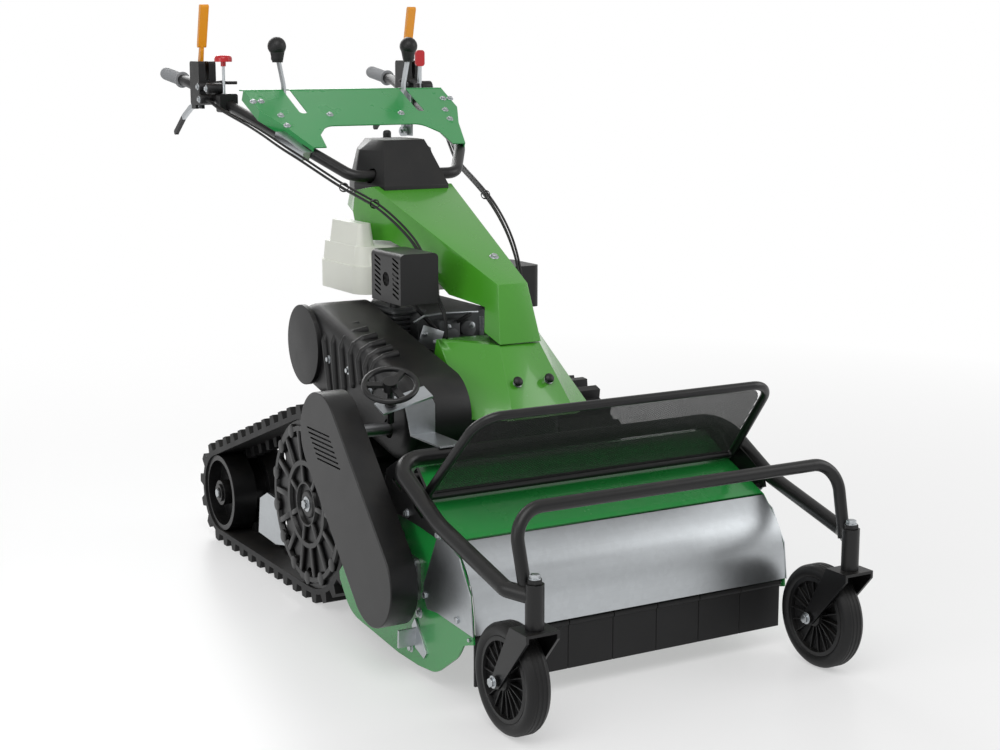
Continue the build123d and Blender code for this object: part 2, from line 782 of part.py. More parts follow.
def make_caster_wheel(side):
    """One caster wheel: a ribbed rim with its hub, and the tyre on it."""
    x_mid = side * stem_x
    with BuildPart() as rim:
        with BuildSketch(Plane.YZ.offset(x_mid - wheel_w / 2 + 3)):
            with Locations((axle_y, wheel_r)):
                Circle(rim_r)
        extrude(amount=wheel_w - 6)
        for x_face, way in ((x_mid - wheel_w / 2 + 3, 1), (x_mid + wheel_w / 2 - 3, -1)):
            with BuildSketch(Plane.YZ.offset(x_face)):
                with Locations((axle_y, wheel_r)):
                    Circle(rim_r - 8)
                    Circle(20, mode=Mode.SUBTRACT)
                for k in range(10):
                    with Locations(Location((axle_y, wheel_r, 0), (0, 0, 36 * k))):
                        with Locations((48, 0)):
                            Rectangle(64, 4, mode=Mode.SUBTRACT)
            extrude(amount=way * 18, mode=Mode.SUBTRACT)
        with BuildSketch(Plane.YZ.offset(x_mid - fork_gap / 2 + 1)):
            with Locations((axle_y, wheel_r)):
                Circle(15)
        extrude(amount=fork_gap - 2)
        with BuildSketch(Plane.YZ.offset(x_mid - fork_gap / 2)):
            with Locations((axle_y, wheel_r)):
                Circle(wheel_axle_r + running)
        extrude(amount=fork_gap, mode=Mode.SUBTRACT)
    with BuildPart() as tyre:
        with BuildSketch(Plane.YZ.offset(x_mid - wheel_w / 2)):
            with Locations((axle_y, wheel_r)):
                Circle(wheel_r)
        extrude(amount=wheel_w)
        fillet(tyre.edges().filter_by(GeomType.CIRCLE), 9)
        with BuildSketch(Plane.YZ.offset(x_mid - wheel_w / 2)):
            with Locations((axle_y, wheel_r)):
                Circle(rim_r)
        extrude(amount=wheel_w, mode=Mode.SUBTRACT)
    return group(rim.part, tyre.part)


for side, word in ((-1, "left"), (1, "right")):
    save(make_fork(side), f"caster_fork_{word}")
    save(make_caster_wheel(side), f"caster_wheel_{word}")

# ---- cutting height handwheel -------------------------------------------------
wheel_centre = Vector(-385.0, -444.0, 615.0)
spindle_way = Vector(-0.20, -0.42, 0.885).normalized()   # the spindle leans forward and outward
spindle_r = 8.0
spindle_reach = 50.0      # below its bracket
handwheel_r = 58.0
handwheel_lift = 55.0     # from the bracket to the wheel's middle
spindle_seat = Plane(origin=wheel_centre - spindle_way * handwheel_lift, x_dir=(1, 0, 0.226), z_dir=spindle_way)
wheel_section = Plane(origin=wheel_centre, x_dir=spindle_seat.x_dir, z_dir=-spindle_seat.y_dir)
with BuildPart() as height_handwheel:
    with BuildSketch(spindle_seat.offset(-spindle_reach)):
        Circle(spindle_r)
    extrude(amount=spindle_reach + handwheel_lift + 12)
    with BuildSketch(spindle_seat.offset(handwheel_lift - 12)):
        Circle(17)
    extrude(amount=24)
    with BuildSketch(spindle_seat.offset(seat_gap)):
        Circle(13)
    extrude(amount=6)
    with BuildSketch(wheel_section):
        with Locations((handwheel_r, 0)):
            Circle(6.5)
    revolve(axis=Axis(wheel_centre, spindle_way))
    with BuildSketch(spindle_seat.offset(handwheel_lift - 4)):
        for k in range(3):
            with Locations(Location((0, 0, 0), (0, 0, 120 * k + 30))):
                with Locations((handwheel_r / 2 + 4, 0)):
                    Rectangle(handwheel_r - 8, 14)
    extrude(amount=8)
save(height_handwheel.part, "height_handwheel")

foot_z = cross_z + frame_tube_d / 2
bracket_y = -431.0        # rear face of the upright plate
with BuildPart() as steel_brackets:
    with BuildSketch(spindle_seat.offset(-5)):
        with Locations((34, 0)):
            Rectangle(128, 42)
        Circle(spindle_r + running, mode=Mode.SUBTRACT)
    extrude(amount=5)
    with BuildSketch(Plane.XZ.offset(-bracket_y)):
        with BuildLine():
            Polyline((-345, 566), (-282, 581), (-270, 560), (-270, foot_z), (-330, foot_z), close=True)
        make_face()
    extrude(amount=5)
    with BuildSketch(Plane.XY.offset(foot_z)):
        with Locations((-300, (cross_y - 12 + bracket_y) / 2)):
            Rectangle(60, bracket_y - cross_y + 12)
    extrude(amount=4)
    with BuildSketch(Plane.YZ.offset(-deck_out)):
        with BuildLine():
            Polyline((-600, 62), (-640, 48), (-652, 62), (-600, 128), (-585, 108), close=True)
        make_face()
    extrude(amount=-4)
    with BuildSketch(Plane.YZ.offset(-deck_out - 4)):
        with BuildLine():
            Polyline((-600, 66), (-602, 106), (-596, 106), (-594, 66), close=True)
        make_face()
    extrude(amount=-40)

# ---- covers -------------------------------------------------------------------
def hood_section(plane, half_low, half_high, height):
    """One upright trapezoid of a hood, drawn from its foot on the given plane."""
    with BuildSketch(plane) as section:
        with BuildLine():
            Polyline((-half_low, 0), (-half_high, height), (half_high, height), (half_low, 0), close=True)
        make_face()
    return section.sketch


def lofted(sections):
    """A ruled solid through the sections."""
    with BuildPart() as solid:
        for section in sections:
            add(section)
        loft(ruled=True)
    return solid.part


def lower_ring(z, half_rear, half_front, y_rear, y_side, y_front):
    """A six-sided plan section of the lower cover at one height."""
    with BuildSketch(Plane.XY.offset(z)) as ring:
        with BuildLine():
            Polyline((-half_rear, y_rear), (-half_rear, y_side), (-half_front, y_front), (half_front, y_front),
                     (half_rear, y_side), (half_rear, y_rear), close=True)
        make_face()
    return ring.sketch


with BuildPart() as lower_cover:
    add(lofted([lower_ring(506, 166, 84, -190, -400, -470), lower_ring(662, 139, 54, -190, -205, -352)]))
    add(lofted([lower_ring(502, 166 - cover_shell, 84 - cover_shell, -189, -400 + cover_shell, -470 + 4),
                lower_ring(658, 139 - cover_shell, 54 - cover_shell, -189, -205 + cover_shell, -352 + 4)]),
        mode=Mode.SUBTRACT)
    add(block((-200, 200), (-196, -180), (490, 700)), mode=Mode.SUBTRACT)
    add(block((-28, 28), (-304, -246), (640, 700)), mode=Mode.SUBTRACT)
save(lower_cover.part, "lower_cover")

arch_r = sprocket_outer + 14
cover_inner_x = -172.0
with BuildPart() as transmission_cover:
    with BuildSketch(Plane.YZ.offset(cover_x)):
        with Locations((115, 616)):
            Circle(105)
        with Locations((-330, 515)):
            Circle(100)
        make_hull()
        with Locations((0, sprocket_z)):
            Circle(arch_r, mode=Mode.SUBTRACT)
    extrude(amount=cover_inner_x - cover_x)
    outer_face = transmission_cover.faces().filter_by(Plane.YZ).sort_by(Axis.X)[0]
    fillet(outer_face.outer_wire().edges(), 30)
    offset(amount=-cover_shell, openings=transmission_cover.faces().filter_by(Plane.YZ).sort_by(Axis.X)[-1])
    with BuildSketch(Plane.YZ.offset(cover_x)):
        with Locations(Location((132, 618, 0), (0, 0, -8))):
            Ellipse(92, 100)
    extrude(amount=-12)
    with BuildSketch(Plane.YZ.offset(cover_x - 1)):
        with Locations((jackshaft_y, jackshaft_z)):
            Circle(jackshaft_r + 8)
    extrude(amount=cover_shell + 2, mode=Mode.SUBTRACT)
save(transmission_cover.part, "transmission_cover")

nose_lean = Plane(origin=(0, -357, 664), x_dir=(1, 0, 0), z_dir=(0, -136, 37))
nose_height = hypot(136, 37)
crown_y = 191.0
widest_y = 292.0
tail_y = 441.0


def cowl_body(grow, tail_extra):
    """The cowl's outer body, grown on every side, with its tail end moved."""
    return lofted([hood_section(nose_lean, 56 + grow, 40 + grow, nose_height + grow)
                   .moved(Location((0, -min(grow, 0), -max(grow, 0)))),
                   hood_section(Plane.XZ.offset(-crown_y), 128 + grow, 114 + grow, 133 + grow)
                   .moved(Location((0, 0, 865))),
                   hood_section(Plane.XZ.offset(-widest_y), 130 + grow, 116 + grow, 118 + grow)
                   .moved(Location((0, 0, 865))),
                   hood_section(Plane.XZ.offset(-tail_y - tail_extra), 76 + grow, 62 + grow, 60 + grow)
                   .moved(Location((0, 0, 900)))])


cowl_under = [(-300, 600), (-300, 668), (-286, 745), (-150, 760), (10, 846), (100, 868), (215, 862), (262, 880),
              (292, 926), (460, 932), (460, 600)]
with BuildPart() as cowl:
    add(cowl_body(0, 0))
    add(cowl_body(-cover_shell, -cover_shell), mode=Mode.SUBTRACT)
    with BuildSketch(Plane.YZ.offset(-200)):
        with BuildLine():
            Polyline(*cowl_under, close=True)
        make_face()
    extrude(amount=400, mode=Mode.SUBTRACT)
    add(block((-30, 30), (crown_y + 5, 285), (940, 1010)), mode=Mode.SUBTRACT)
save(cowl.part, "cowl")


def roof_ring(z, halves, stations, inset=0.0):
    """A plan section of the top cover: narrow in front, widest half way back and narrower behind."""
    front, middle, rear = (half - inset for half in halves)
    y_front, y_middle, y_rear = stations[0] + inset, stations[1], stations[2] - inset
    with BuildSketch(Plane.XY.offset(z)) as ring:
        with BuildLine():
            Polyline((-rear, y_rear), (-middle, y_middle), (-front, y_front), (front, y_front),
                     (middle, y_middle), (rear, y_rear), close=True)
        make_face()
    return ring.sketch


cover_foot = 999.0
bar_r = bar_tube_d / 2
foot_rear = 410.0
skirt = 42.0              # how far the cover's rim drops to follow the cowl
foot_ring = ((92, 118, 76), (166, widest_y, foot_rear))
roof_rings = [(cover_foot, *foot_ring), (1086.0, (67, 104, 66), (219, 286, 382)),
              (1112.0, (58, 66, 50), (236, 290, 366))]


def roof_body(inset, drop):
    """The top cover's body above its foot, with every face moved in and down."""
    return lofted([roof_ring(z - drop, halves, stations, inset) for z, halves, stations in roof_rings])


with BuildPart() as top_cover:
    add(roof_body(0, 0))
    extrude(roof_ring(cover_foot, *foot_ring), amount=-skirt)
    add(roof_body(cover_shell, cover_shell), mode=Mode.SUBTRACT)
    extrude(roof_ring(cover_foot, *foot_ring, cover_shell), amount=-skirt, mode=Mode.SUBTRACT)
    for side in (-1, 1):
        with BuildSketch(Plane.YZ.offset(side * 80)):
            with Locations((pivot_y, pivot_z)):
                Circle(bar_r + 4)
        extrude(amount=side * 60, mode=Mode.SUBTRACT)
    add(cowl_body(seat_gap, foot_rear - tail_y + 60), mode=Mode.SUBTRACT)
top_main = top_cover.part.solids().sort_by(SortBy.VOLUME)[-1]
save(Part(top_main.wrapped), "top_cover")

# ---- handlebar column ---------------------------------------------------------
column_half = 25.0
boss_half = 45.0
boss_r = bar_r + 6
with BuildPart() as cowl_strap:
    add(cowl_body(-cover_shell - seat_gap, -cover_shell - seat_gap))
    add(block((-200, 200), (88, 94), (874, 893)), mode=Mode.INTERSECT)
with BuildPart() as column:
    with BuildSketch(Plane.YZ.offset(-column_half)):
        with BuildLine():
            Polyline((-300, 560), (-300, 690), (-270, 770), (165, 925), (200, 985), (pivot_y - 18, pivot_z),
                     (pivot_y + 20, pivot_z), (pivot_y + 4, pivot_z - 40), (175, 900), (-220, 742),
                     (-250, 690), (-250, 560), close=True)
        make_face()
    extrude(amount=2 * column_half)
    add(cowl_strap.part)
    with BuildSketch(Plane.YZ.offset(-boss_half)):
        with Locations((pivot_y, pivot_z)):
            Circle(boss_r)
    extrude(amount=2 * boss_half)
    with BuildSketch(Plane.YZ.offset(-boss_half)):
        with Locations((pivot_y, pivot_z)):
            Circle(bar_r + running)
    extrude(amount=2 * boss_half, mode=Mode.SUBTRACT)
save(column.part, "handlebar_column")

# ---- engine -------------------------------------------------------------------
engine_top = 700.0
head_x = -165.0
with BuildPart() as engine_block:
    add(block((-115, 115), (-55, 228), (engine_deck, engine_top)))
    fillet(engine_block.edges().filter_by(Axis.Y), 22)
    for k in range(9):
        with BuildSketch(Plane.XY.offset(604 + k * 12)):
            with Locations((-115, 70)):
                RectangleRounded(96, 170, 12)
        extrude(amount=5)
    add(block((head_x + 12, -100), (0, 140), (600, 712)))
    with BuildSketch(Plane.XZ.offset(55)):
        with Locations((0, engine_z)):
            Circle(48)
    extrude(amount=100)
save(engine_block.part, "engine_block")

with BuildPart() as clutch_housing:
    with BuildSketch(Plane.XZ.offset(155)):
        with Locations((0, engine_z)):
            Circle(50)
    extrude(amount=40)
    add(block((-45, 45), (-240, -195), (560, 630)))
save(group(gearbox.part, clutch_housing.part), "gearbox")

muffler_x = -240.0
muffler_rear = -57.0
muffler_wall = 2.0
pipe_x = -140.0
pipe_z = 790.0
with BuildPart() as muffler:
    add(block((muffler_x, -140), (-211, muffler_rear), (751, 871)))
    fillet(muffler.edges().filter_by(Axis.Y).sort_by(Axis.Z)[-2:], 12)
    offset(amount=-muffler_wall, openings=muffler.faces().sort_by(Axis.Z)[0])
    with BuildSketch(Plane.YZ.offset(muffler_x)):
        for column_y in (-185, -90):
            for k in range(8):
                with Locations(Location((column_y, 770 + k * 12, 0), (0, 0, 18))):
                    SlotOverall(34, 5)
        with Locations((-134, 806)):
            Circle(17)
    extrude(amount=muffler_wall, mode=Mode.SUBTRACT)
    with BuildSketch(Plane.YZ.offset(muffler_x + 12)):
        with Locations((-134, 812)):
            RectangleRounded(66, 92, 20)
    extrude(amount=muffler_x * -1 - 140 - 12 - muffler_wall)
    with BuildSketch(Plane.XZ.offset(179)):
        with Locations((-160, pipe_z)):
            Circle(12)
    extrude(amount=-(179 + muffler_rear))
    add(tube([(pipe_x, 20, 712), (pipe_x, 20, pipe_z), (pipe_x, muffler_rear - 1, pipe_z)], [30], 26))
save(muffler.part, "muffler")

tank_x = (-205.0, 185.0)
tank_y = (84.0, 346.0)
tank_low = 737.0
tank_top = 856.0
hump_top = 912.0
cap_x = 156.0
cap_y = 215.0
neck_r = 16.0
cap_r = 22.0
tank_mid_x = (tank_x[0] + tank_x[1]) / 2
tank_mid_y = (tank_y[0] + tank_y[1]) / 2
with BuildPart() as fuel_tank:
    with BuildSketch(Plane.XY.offset(tank_low)):
        with Locations((tank_mid_x, tank_mid_y)):
            RectangleRounded(tank_x[1] - tank_x[0], tank_y[1] - tank_y[0], 46)
    extrude(amount=70)
    with BuildSketch(Plane.XY.offset(tank_low + 70)):
        with Locations((tank_mid_x, tank_mid_y)):
            RectangleRounded(tank_x[1] - tank_x[0] - 8, tank_y[1] - tank_y[0] - 8, 42)
    extrude(amount=tank_top - tank_low - 70, taper=6)
    with BuildSketch(Plane.XY.offset(tank_top - 20)):
        with Locations((-169, 205)):
            RectangleRounded(56, 190, 22)
    extrude(amount=hump_top - tank_top + 20, taper=8)
    with BuildSketch(Plane.XY.offset(engine_top)):
        with Locations((-45, 190), (45, 190)):
            Rectangle(30, 60)
    extrude(amount=tank_low - engine_top)
    with BuildSketch(Plane.XY.offset(tank_top - 10)):
        with Locations((cap_x, cap_y)):
            Circle(neck_r + 3)
    extrude(amount=30)
    with BuildSketch(Plane.XY.offset(tank_top + 20)):
        with Locations((cap_x, cap_y)):
            Circle(neck_r)
    extrude(amount=10)
save(fuel_tank.part, "fuel_tank")

cap_low = tank_top + 20 + running
with BuildPart() as fuel_cap:
    with BuildSketch(Plane.XY.offset(cap_low)):
        with Locations((cap_x, cap_y)):
            Circle(cap_r)
    extrude(amount=18)
    with BuildSketch(Plane.XY.offset(cap_low)):
        with Locations((cap_x, cap_y)):
            Circle(neck_r + running)
    extrude(amount=10, mode=Mode.SUBTRACT)
    with BuildSketch(Plane.XY.offset(cap_low + 18)):
        with Locations((cap_x, cap_y)):
            Rectangle(34, 8)
    extrude(amount=6)
save(fuel_cap.part, "fuel_cap")

starter_y = 228.0
starter_r = 100.0
with BuildPart() as recoil_starter:
    with BuildSketch(Plane.XZ.offset(-starter_y)):
        with Locations((0, engine_z + 30)):
            Circle(starter_r)
    extrude(amount=-50)
    with BuildSketch(Plane.XZ.offset(-starter_y - 50)):
        with Locations((0, engine_z + 30)):
            Circle(starter_r - 8)
            with PolarLocations(70, 12):
                Circle(7, mode=Mode.SUBTRACT)
    extrude(amount=-18)
    with BuildSketch(Plane.XZ.offset(-starter_y - 68)):
        with Locations((62, engine_z + 86)):
            Circle(9)
    extrude(amount=-10)
    with BuildSketch(Plane.XZ.offset(-starter_y - 78)):
        with Locations((62, engine_z + 86)):
            SlotOverall(62, 18)
    extrude(amount=-16)
save(recoil_starter.part, "recoil_starter")

with BuildPart() as air_filter:
    add(block((122, 225), (-75, 75), (700, 805)))
    fillet(air_filter.edges().filter_by(Axis.Z), 18)
    add(block((115, 150), (-40, 30), (640, 700)))
save(air_filter.part, "air_filter")

# ---- handlebar ----------------------------------------------------------------
grip_end = (330.0, 1106.0, 1272.0)
elbow = (322.0, 932.0, 1249.0)
bar_half = [(150, pivot_y, pivot_z), (225, 345, 1086), elbow, grip_end]
bar_bends = [300, 150, 45, 45, 150, 300]
bar_route = [(-x, y, z) for x, y, z in reversed(bar_half)] + bar_half
with BuildPart() as handlebar:
    add(tube(bar_route, bar_bends, bar_tube_d, tube_wall))
save(handlebar.part, "handlebar")

grip_length = 125.0
with BuildPart() as hand_grips:
    for side in (-1, 1):
        tip = Vector(side * grip_end[0], grip_end[1], grip_end[2])
        inward = (Vector(side * elbow[0], elbow[1], elbow[2]) - tip).normalized()
        with BuildSketch(Plane(origin=tip - inward * 4, z_dir=inward)):
            Circle(grip_d / 2)
        extrude(amount=grip_length + 4)
        with BuildSketch(Plane(origin=tip + inward * grip_length, z_dir=inward)):
            Circle(grip_d / 2 + 5)
        extrude(amount=-5)
        with BuildSketch(Plane(origin=tip, z_dir=inward)):
            Circle(bar_r)
        extrude(amount=grip_length, mode=Mode.SUBTRACT)
save(hand_grips.part, "hand_grips")

hinge_y = 850.0
hinge_z = 1300.0
lever_pin_r = 4.0
lever_t = 10.0
clamp_x = 319.0
steer_x = 320.0
steer_y = 882.0
steer_z = 1190.0
with BuildPart() as lever_clamps:
    for side in (-1, 1):
        add(block((side * clamp_x - 25, side * clamp_x + 25), (hinge_y - 50, hinge_y + 20), (1190, hinge_z + 9)))
    fillet(lever_clamps.edges().filter_by(Axis.X), 8)
    for side in (-1, 1):
        add(block((side * clamp_x - lever_t / 2 - seat_gap, side * clamp_x + lever_t / 2 + seat_gap),
                  (hinge_y - 51, hinge_y + 21), (hinge_z - 43, hinge_z + 20)), mode=Mode.SUBTRACT)
        add(x_bar(lever_pin_r, side * clamp_x - 20, side * clamp_x + 20, hinge_y, hinge_z))
        for x_ear in (side * steer_x - lever_t / 2 - seat_gap - 8, side * steer_x + lever_t / 2 + seat_gap):
            add(block((x_ear, x_ear + 8), (steer_y - 22, steer_y + 10), (steer_z - 12, steer_z + 16)))
        add(x_bar(lever_pin_r, side * steer_x - 12, side * steer_x + 12, steer_y, steer_z))
    add(tube(bar_route, bar_bends, bar_tube_d), mode=Mode.SUBTRACT)


def make_safety_lever(side):
    """One hold-to-run lever: a flat paddle on a bored neck, with a short tab towards the grip."""
    x_mid = side * clamp_x
    with BuildPart() as lever:
        with BuildSketch(Plane.YZ.offset(x_mid - lever_t / 2)):
            with Locations((hinge_y, hinge_z)):
                Circle(9)
            with Locations((hinge_y - 10, hinge_z + 40)):
                Circle(7)
            make_hull()
        extrude(amount=lever_t)
        with BuildSketch(Plane.YZ.offset(x_mid - lever_t / 2)):
            with Locations((hinge_y, hinge_z)):
                Circle(9)
            with Locations((hinge_y + 30, hinge_z - 17)):
                Circle(5)
            make_hull()
        extrude(amount=lever_t)
        with BuildSketch(Plane.YZ.offset(x_mid - 12)):
            with Locations((hinge_y - 13, hinge_z + 52)):
                Circle(6)
            with Locations((hinge_y - 39, hinge_z + 156)):
                Circle(7)
            make_hull()
        extrude(amount=24)
        with BuildSketch(Plane.YZ.offset(x_mid - lever_t / 2)):
            with Locations((hinge_y - 10, hinge_z + 40), (hinge_y - 13, hinge_z + 52)):
                Circle(6)
            make_hull()
        extrude(amount=lever_t)
        with BuildSketch(Plane.YZ.offset(x_mid - lever_t / 2)):
            with Locations((hinge_y, hinge_z)):
                Circle(lever_pin_r + running)
        extrude(amount=lever_t, mode=Mode.SUBTRACT)
    return lever.part


for side, word in ((-1, "left"), (1, "right")):
    save(make_safety_lever(side), f"safety_lever_{word}")


def make_steering_lever(side):
    """One steering lever under a grip: a bored boss and a bent bar running back and down."""
    x_mid = side * steer_x
    with BuildPart() as lever:
        with BuildSketch(Plane.YZ.offset(x_mid - lever_t / 2)):
            with BuildLine():
                FilletPolyline((steer_y, steer_z), (steer_y + 50, steer_z - 10), (steer_y + 110, steer_z - 38),
                               (steer_y + 178, steer_z - 84), radius=[60, 60])
            trace(line_width=14)
            with Locations((steer_y, steer_z), (steer_y + 178, steer_z - 84)):
                Circle(8)
            with Locations((steer_y, steer_z)):
                Circle(lever_pin_r + running, mode=Mode.SUBTRACT)
        extrude(amount=lever_t)
    return lever.part


for side, word in ((-1, "left"), (1, "right")):
    save(make_steering_lever(side), f"steering_lever_{word}")

# ---- console ------------------------------------------------------------------
slope_sin = sin(radians(console_slope))
slope_cos = cos(radians(console_slope))
console_t = 3.0
console_plane = Plane(origin=(0, console_y, console_z), x_dir=(1, 0, 0), z_dir=(0, -slope_sin, slope_cos))
under_plane = console_plane.offset(-console_t)
slot_w = 175.0
slot_half = 11.0
flange_depth = 30.0
console_edge = [(298, 134), (298, 125), (295, 20), (256, -69), (222, -180)]
window_edge = [(185, -180), (176, -116), (140, -68)]
post_places = [(237.0, 420.0), (262.0, 570.0)]


def underside(y):
    """Height of the console plate's lower face at a distance back."""
    return console_z + (y - console_y) * slope_sin / slope_cos - console_t / slope_cos


top_y = console_y + 134 * slope_cos
top_z = console_z + 134 * slope_sin
with BuildPart() as console_plate:
    with BuildSketch(under_plane):
        with BuildLine():
            Polyline(*console_edge, *window_edge, *[(-w, v) for w, v in reversed(console_edge + window_edge)],
                     close=True)
        make_face()
        fillet([corner for corner in vertices() if abs(abs(corner.X) - 140) < 1], 45)
        with Locations(Location((-slot_w, 62, 0), (0, 0, 90)), Location((slot_w, 62, 0), (0, 0, 90))):
            SlotOverall(124, 2 * slot_half, mode=Mode.SUBTRACT)
    extrude(amount=console_t)
    for side in (-1, 1):
        with BuildSketch(console_plane):
            with BuildLine():
                Polyline(*[(side * (w - console_t / 2), v) for w, v in console_edge])
            trace(line_width=console_t)
        extrude(amount=-flange_depth)
        for x_post, y_post in post_places:
            with BuildSketch(Plane.XY.offset(underside(y_post) + 1)):
                with Locations((side * x_post, y_post)):
                    Circle(8)
            extrude(amount=-70)
    add(block((-298, 298), (top_y - console_t, top_y + 30), (top_z - console_t, top_z)))
    for side in (-1, 1):
        add(block((side * slot_w - slot_half, side * slot_w + slot_half), (top_y - 40, top_y + 16),
                  (top_z - 30, top_z + 5)), mode=Mode.SUBTRACT)
    add(tube(bar_route, bar_bends, bar_tube_d), mode=Mode.SUBTRACT)
console_main = console_plate.part.solids().sort_by(SortBy.VOLUME)[-1]
save(Part(console_main.wrapped), "console_plate")

box_gap = 6.0
tray_depth = 24.0
with BuildPart() as control_box:
    with BuildSketch(console_plane.offset(-14)):
        with BuildLine():
            Polyline((-256 - box_gap, -69), (-282, -69), (-248, -180), (-222 - box_gap, -180), close=True)
        make_face()
    extrude(amount=-tray_depth)
    with BuildSketch(console_plane.offset(-14)):
        with BuildLine():
            Polyline((-256 + 1, -69), (-256 - box_gap, -69), (-222 - box_gap, -180), (-222 + 1, -180), close=True)
        make_face()
    extrude(amount=-3)
    add(console_main, mode=Mode.SUBTRACT)
    add(tube(bar_route, bar_bends, bar_tube_d + 2 * seat_gap), mode=Mode.SUBTRACT)
box_main = control_box.part.solids().sort_by(SortBy.VOLUME)[-1]

# ---- gear levers --------------------------------------------------------------
gear_x = 180.0
gear_y = 594.0
gear_z = 1115.0
gear_pin_r = 6.0
gear_half_y = 9.0
knob_r = 25.0
knob_z = 1350.0
with BuildPart() as lever_brackets:
    for side in (-1, 1):
        x_low = side * gear_x + (8 if side > 0 else -13)
        with BuildSketch(Plane.YZ.offset(x_low)):
            with BuildLine():
                Polyline((562, gear_z - 12), (562, underside(562)), (590, underside(590)), (gear_y + 14, gear_z + 10),
                         (gear_y + 14, gear_z - 12), close=True)
            make_face()
        extrude(amount=5)
        add(x_bar(gear_pin_r, side * gear_x - 12, side * gear_x + 12, gear_y, gear_z))
save(group(lever_brackets.part, Part(box_main.wrapped)), "console_brackets")


def make_gear_lever(side):
    """One gear lever: a bored boss, a bent flat bar and a pear-shaped knob."""
    with BuildPart() as lever:
        with BuildSketch(Plane.YZ.offset(side * gear_x - 7)):
            with Locations((gear_y, gear_z)):
                Circle(14)
        extrude(amount=14)
        with BuildSketch(Plane.XZ.offset(-(gear_y - gear_half_y))):
            with BuildLine():
                FilletPolyline((side * gear_x, gear_z), (side * (gear_x + 1), 1245), (side * (gear_x + 18), 1330),
                               radius=80)
            trace(line_width=6)
        extrude(amount=-2 * gear_half_y)
        with BuildSketch(Plane.YZ.offset(side * gear_x - 8)):
            with Locations((gear_y, gear_z)):
                Circle(gear_pin_r + running)
        extrude(amount=16, mode=Mode.SUBTRACT)
        with Locations((side * (gear_x + 18), gear_y, knob_z)):
            Sphere(knob_r)
        with Locations((side * (gear_x + 17), gear_y, knob_z - 28)):
            Cone(knob_r * 0.56, knob_r * 0.8, 30)
    return lever.part


for side, word in ((-1, "left"), (1, "right")):
    save(make_gear_lever(side), f"gear_lever_{word}")

# ---- hand controls on the bar -------------------------------------------------
switch_x = 292.0
switch_y = 727.0
switch_top = 1222.0
stem_out_x = -300.0
button_z = 1308.0
button_r = 24.0
throttle_z = switch_top + 12
with BuildPart() as switch_blocks:
    for side in (-1, 1):
        add(block((side * switch_x - 26, side * switch_x + 26), (switch_y - 15, switch_y + 15), (1172, switch_top)))
    fillet(switch_blocks.edges().filter_by(Axis.Y), 6)
    for x_low in (switch_x + 8 - 12, switch_x + 8 + 4 + seat_gap):
        add(block((x_low, x_low + 8 - seat_gap), (switch_y - 12, switch_y + 12), (switch_top, switch_top + 22)))
    add(x_bar(3, switch_x - 2, switch_x + 18, switch_y, throttle_z))
    with BuildSketch(Plane.XY.offset(switch_top - 17)):
        with Locations((stem_out_x, switch_y)):
            Circle(4 + running)
    extrude(amount=17, mode=Mode.SUBTRACT)
    add(tube(bar_route, bar_bends, bar_tube_d), mode=Mode.SUBTRACT)
save(group(lever_clamps.part, switch_blocks.part), "control_clamps")

with BuildPart() as stop_button:
    with BuildSketch(Plane.XY.offset(switch_top - 3)):
        with Locations((stem_out_x, switch_y)):
            Circle(4)
    extrude(amount=button_z - switch_top + 8)
    with BuildSketch(Plane.XY.offset(button_z - 12)):
        with Locations((stem_out_x, switch_y)):
            Circle(7)
    extrude(amount=12)
    with BuildSketch(Plane.XY.offset(button_z)):
        with Locations((stem_out_x, switch_y)):
            Circle(button_r)
    extrude(amount=18)
    fillet(stop_button.edges().filter_by(GeomType.CIRCLE).group_by(Axis.Z)[-1], 10)
save(stop_button.part, "stop_button")

throttle_x = switch_x + 8
with BuildPart() as throttle_lever:
    with BuildSketch(Plane.YZ.offset(throttle_x - 4)):
        with Locations((switch_y, throttle_z)):
            Circle(7)
        with Locations((switch_y - 4, throttle_z + 60)):
            Circle(4)
        make_hull()
        with Locations((switch_y, throttle_z)):
            Circle(3 + running, mode=Mode.SUBTRACT)
    extrude(amount=8)
    with BuildSketch(Plane.XZ.offset(-(switch_y - 8))):
        with Locations((throttle_x, throttle_z + 82)):
            RectangleRounded(28, 46, 9)
    extrude(amount=-8)
save(throttle_lever.part, "throttle_lever")

lock_x = 28.0
lock_y = 424.0
lock_z = 1000.0
with BuildPart() as lock_bracket:
    for x_low in (lock_x - 4 - seat_gap - 6, lock_x + 4 + seat_gap):
        add(block((x_low, x_low + 6), (lock_y - 10, lock_y + 10), (950, lock_z + 12)))
    add(x_bar(4, lock_x - 10, lock_x + 10, lock_y, lock_z))
    add(block((lock_x - 10, lock_x + 10), (lock_y - 10, lock_y + 10), (950, 972)))
    add(cowl_body(0, 0), mode=Mode.SUBTRACT)
save(group(steel_brackets.part, lock_bracket.part), "steel_brackets")

with BuildPart() as lock_lever:
    with BuildSketch(Plane.YZ.offset(lock_x - 4)):
        with Locations((lock_y, lock_z)):
            Circle(9)
        with Locations((392, 1095)):
            Circle(6)
        make_hull()
        with Locations((lock_y, lock_z)):
            Circle(4 + running, mode=Mode.SUBTRACT)
    extrude(amount=8)
    with BuildSketch(Plane.XY.offset(1092)):
        with Locations((lock_x, 392)):
            Circle(11)
    extrude(amount=38)
    fillet(lock_lever.edges().group_by(Axis.Z)[-1], 8)
save(lock_lever.part, "lock_lever")

# ---- control cables -----------------------------------------------------------
cable_d = 9.0


def bend_radii(points):
    """The largest tangent arcs that the runs of a cable's route leave room for."""
    radii = []
    for before, corner, after in zip(points, points[1:], points[2:]):
        inward = Vector(*corner) - Vector(*before)
        outward = Vector(*after) - Vector(*corner)
        half_turn = radians(inward.get_angle(outward)) / 2
        radii.append(0.45 * min(inward.length, outward.length) / tan(half_turn))
    return radii


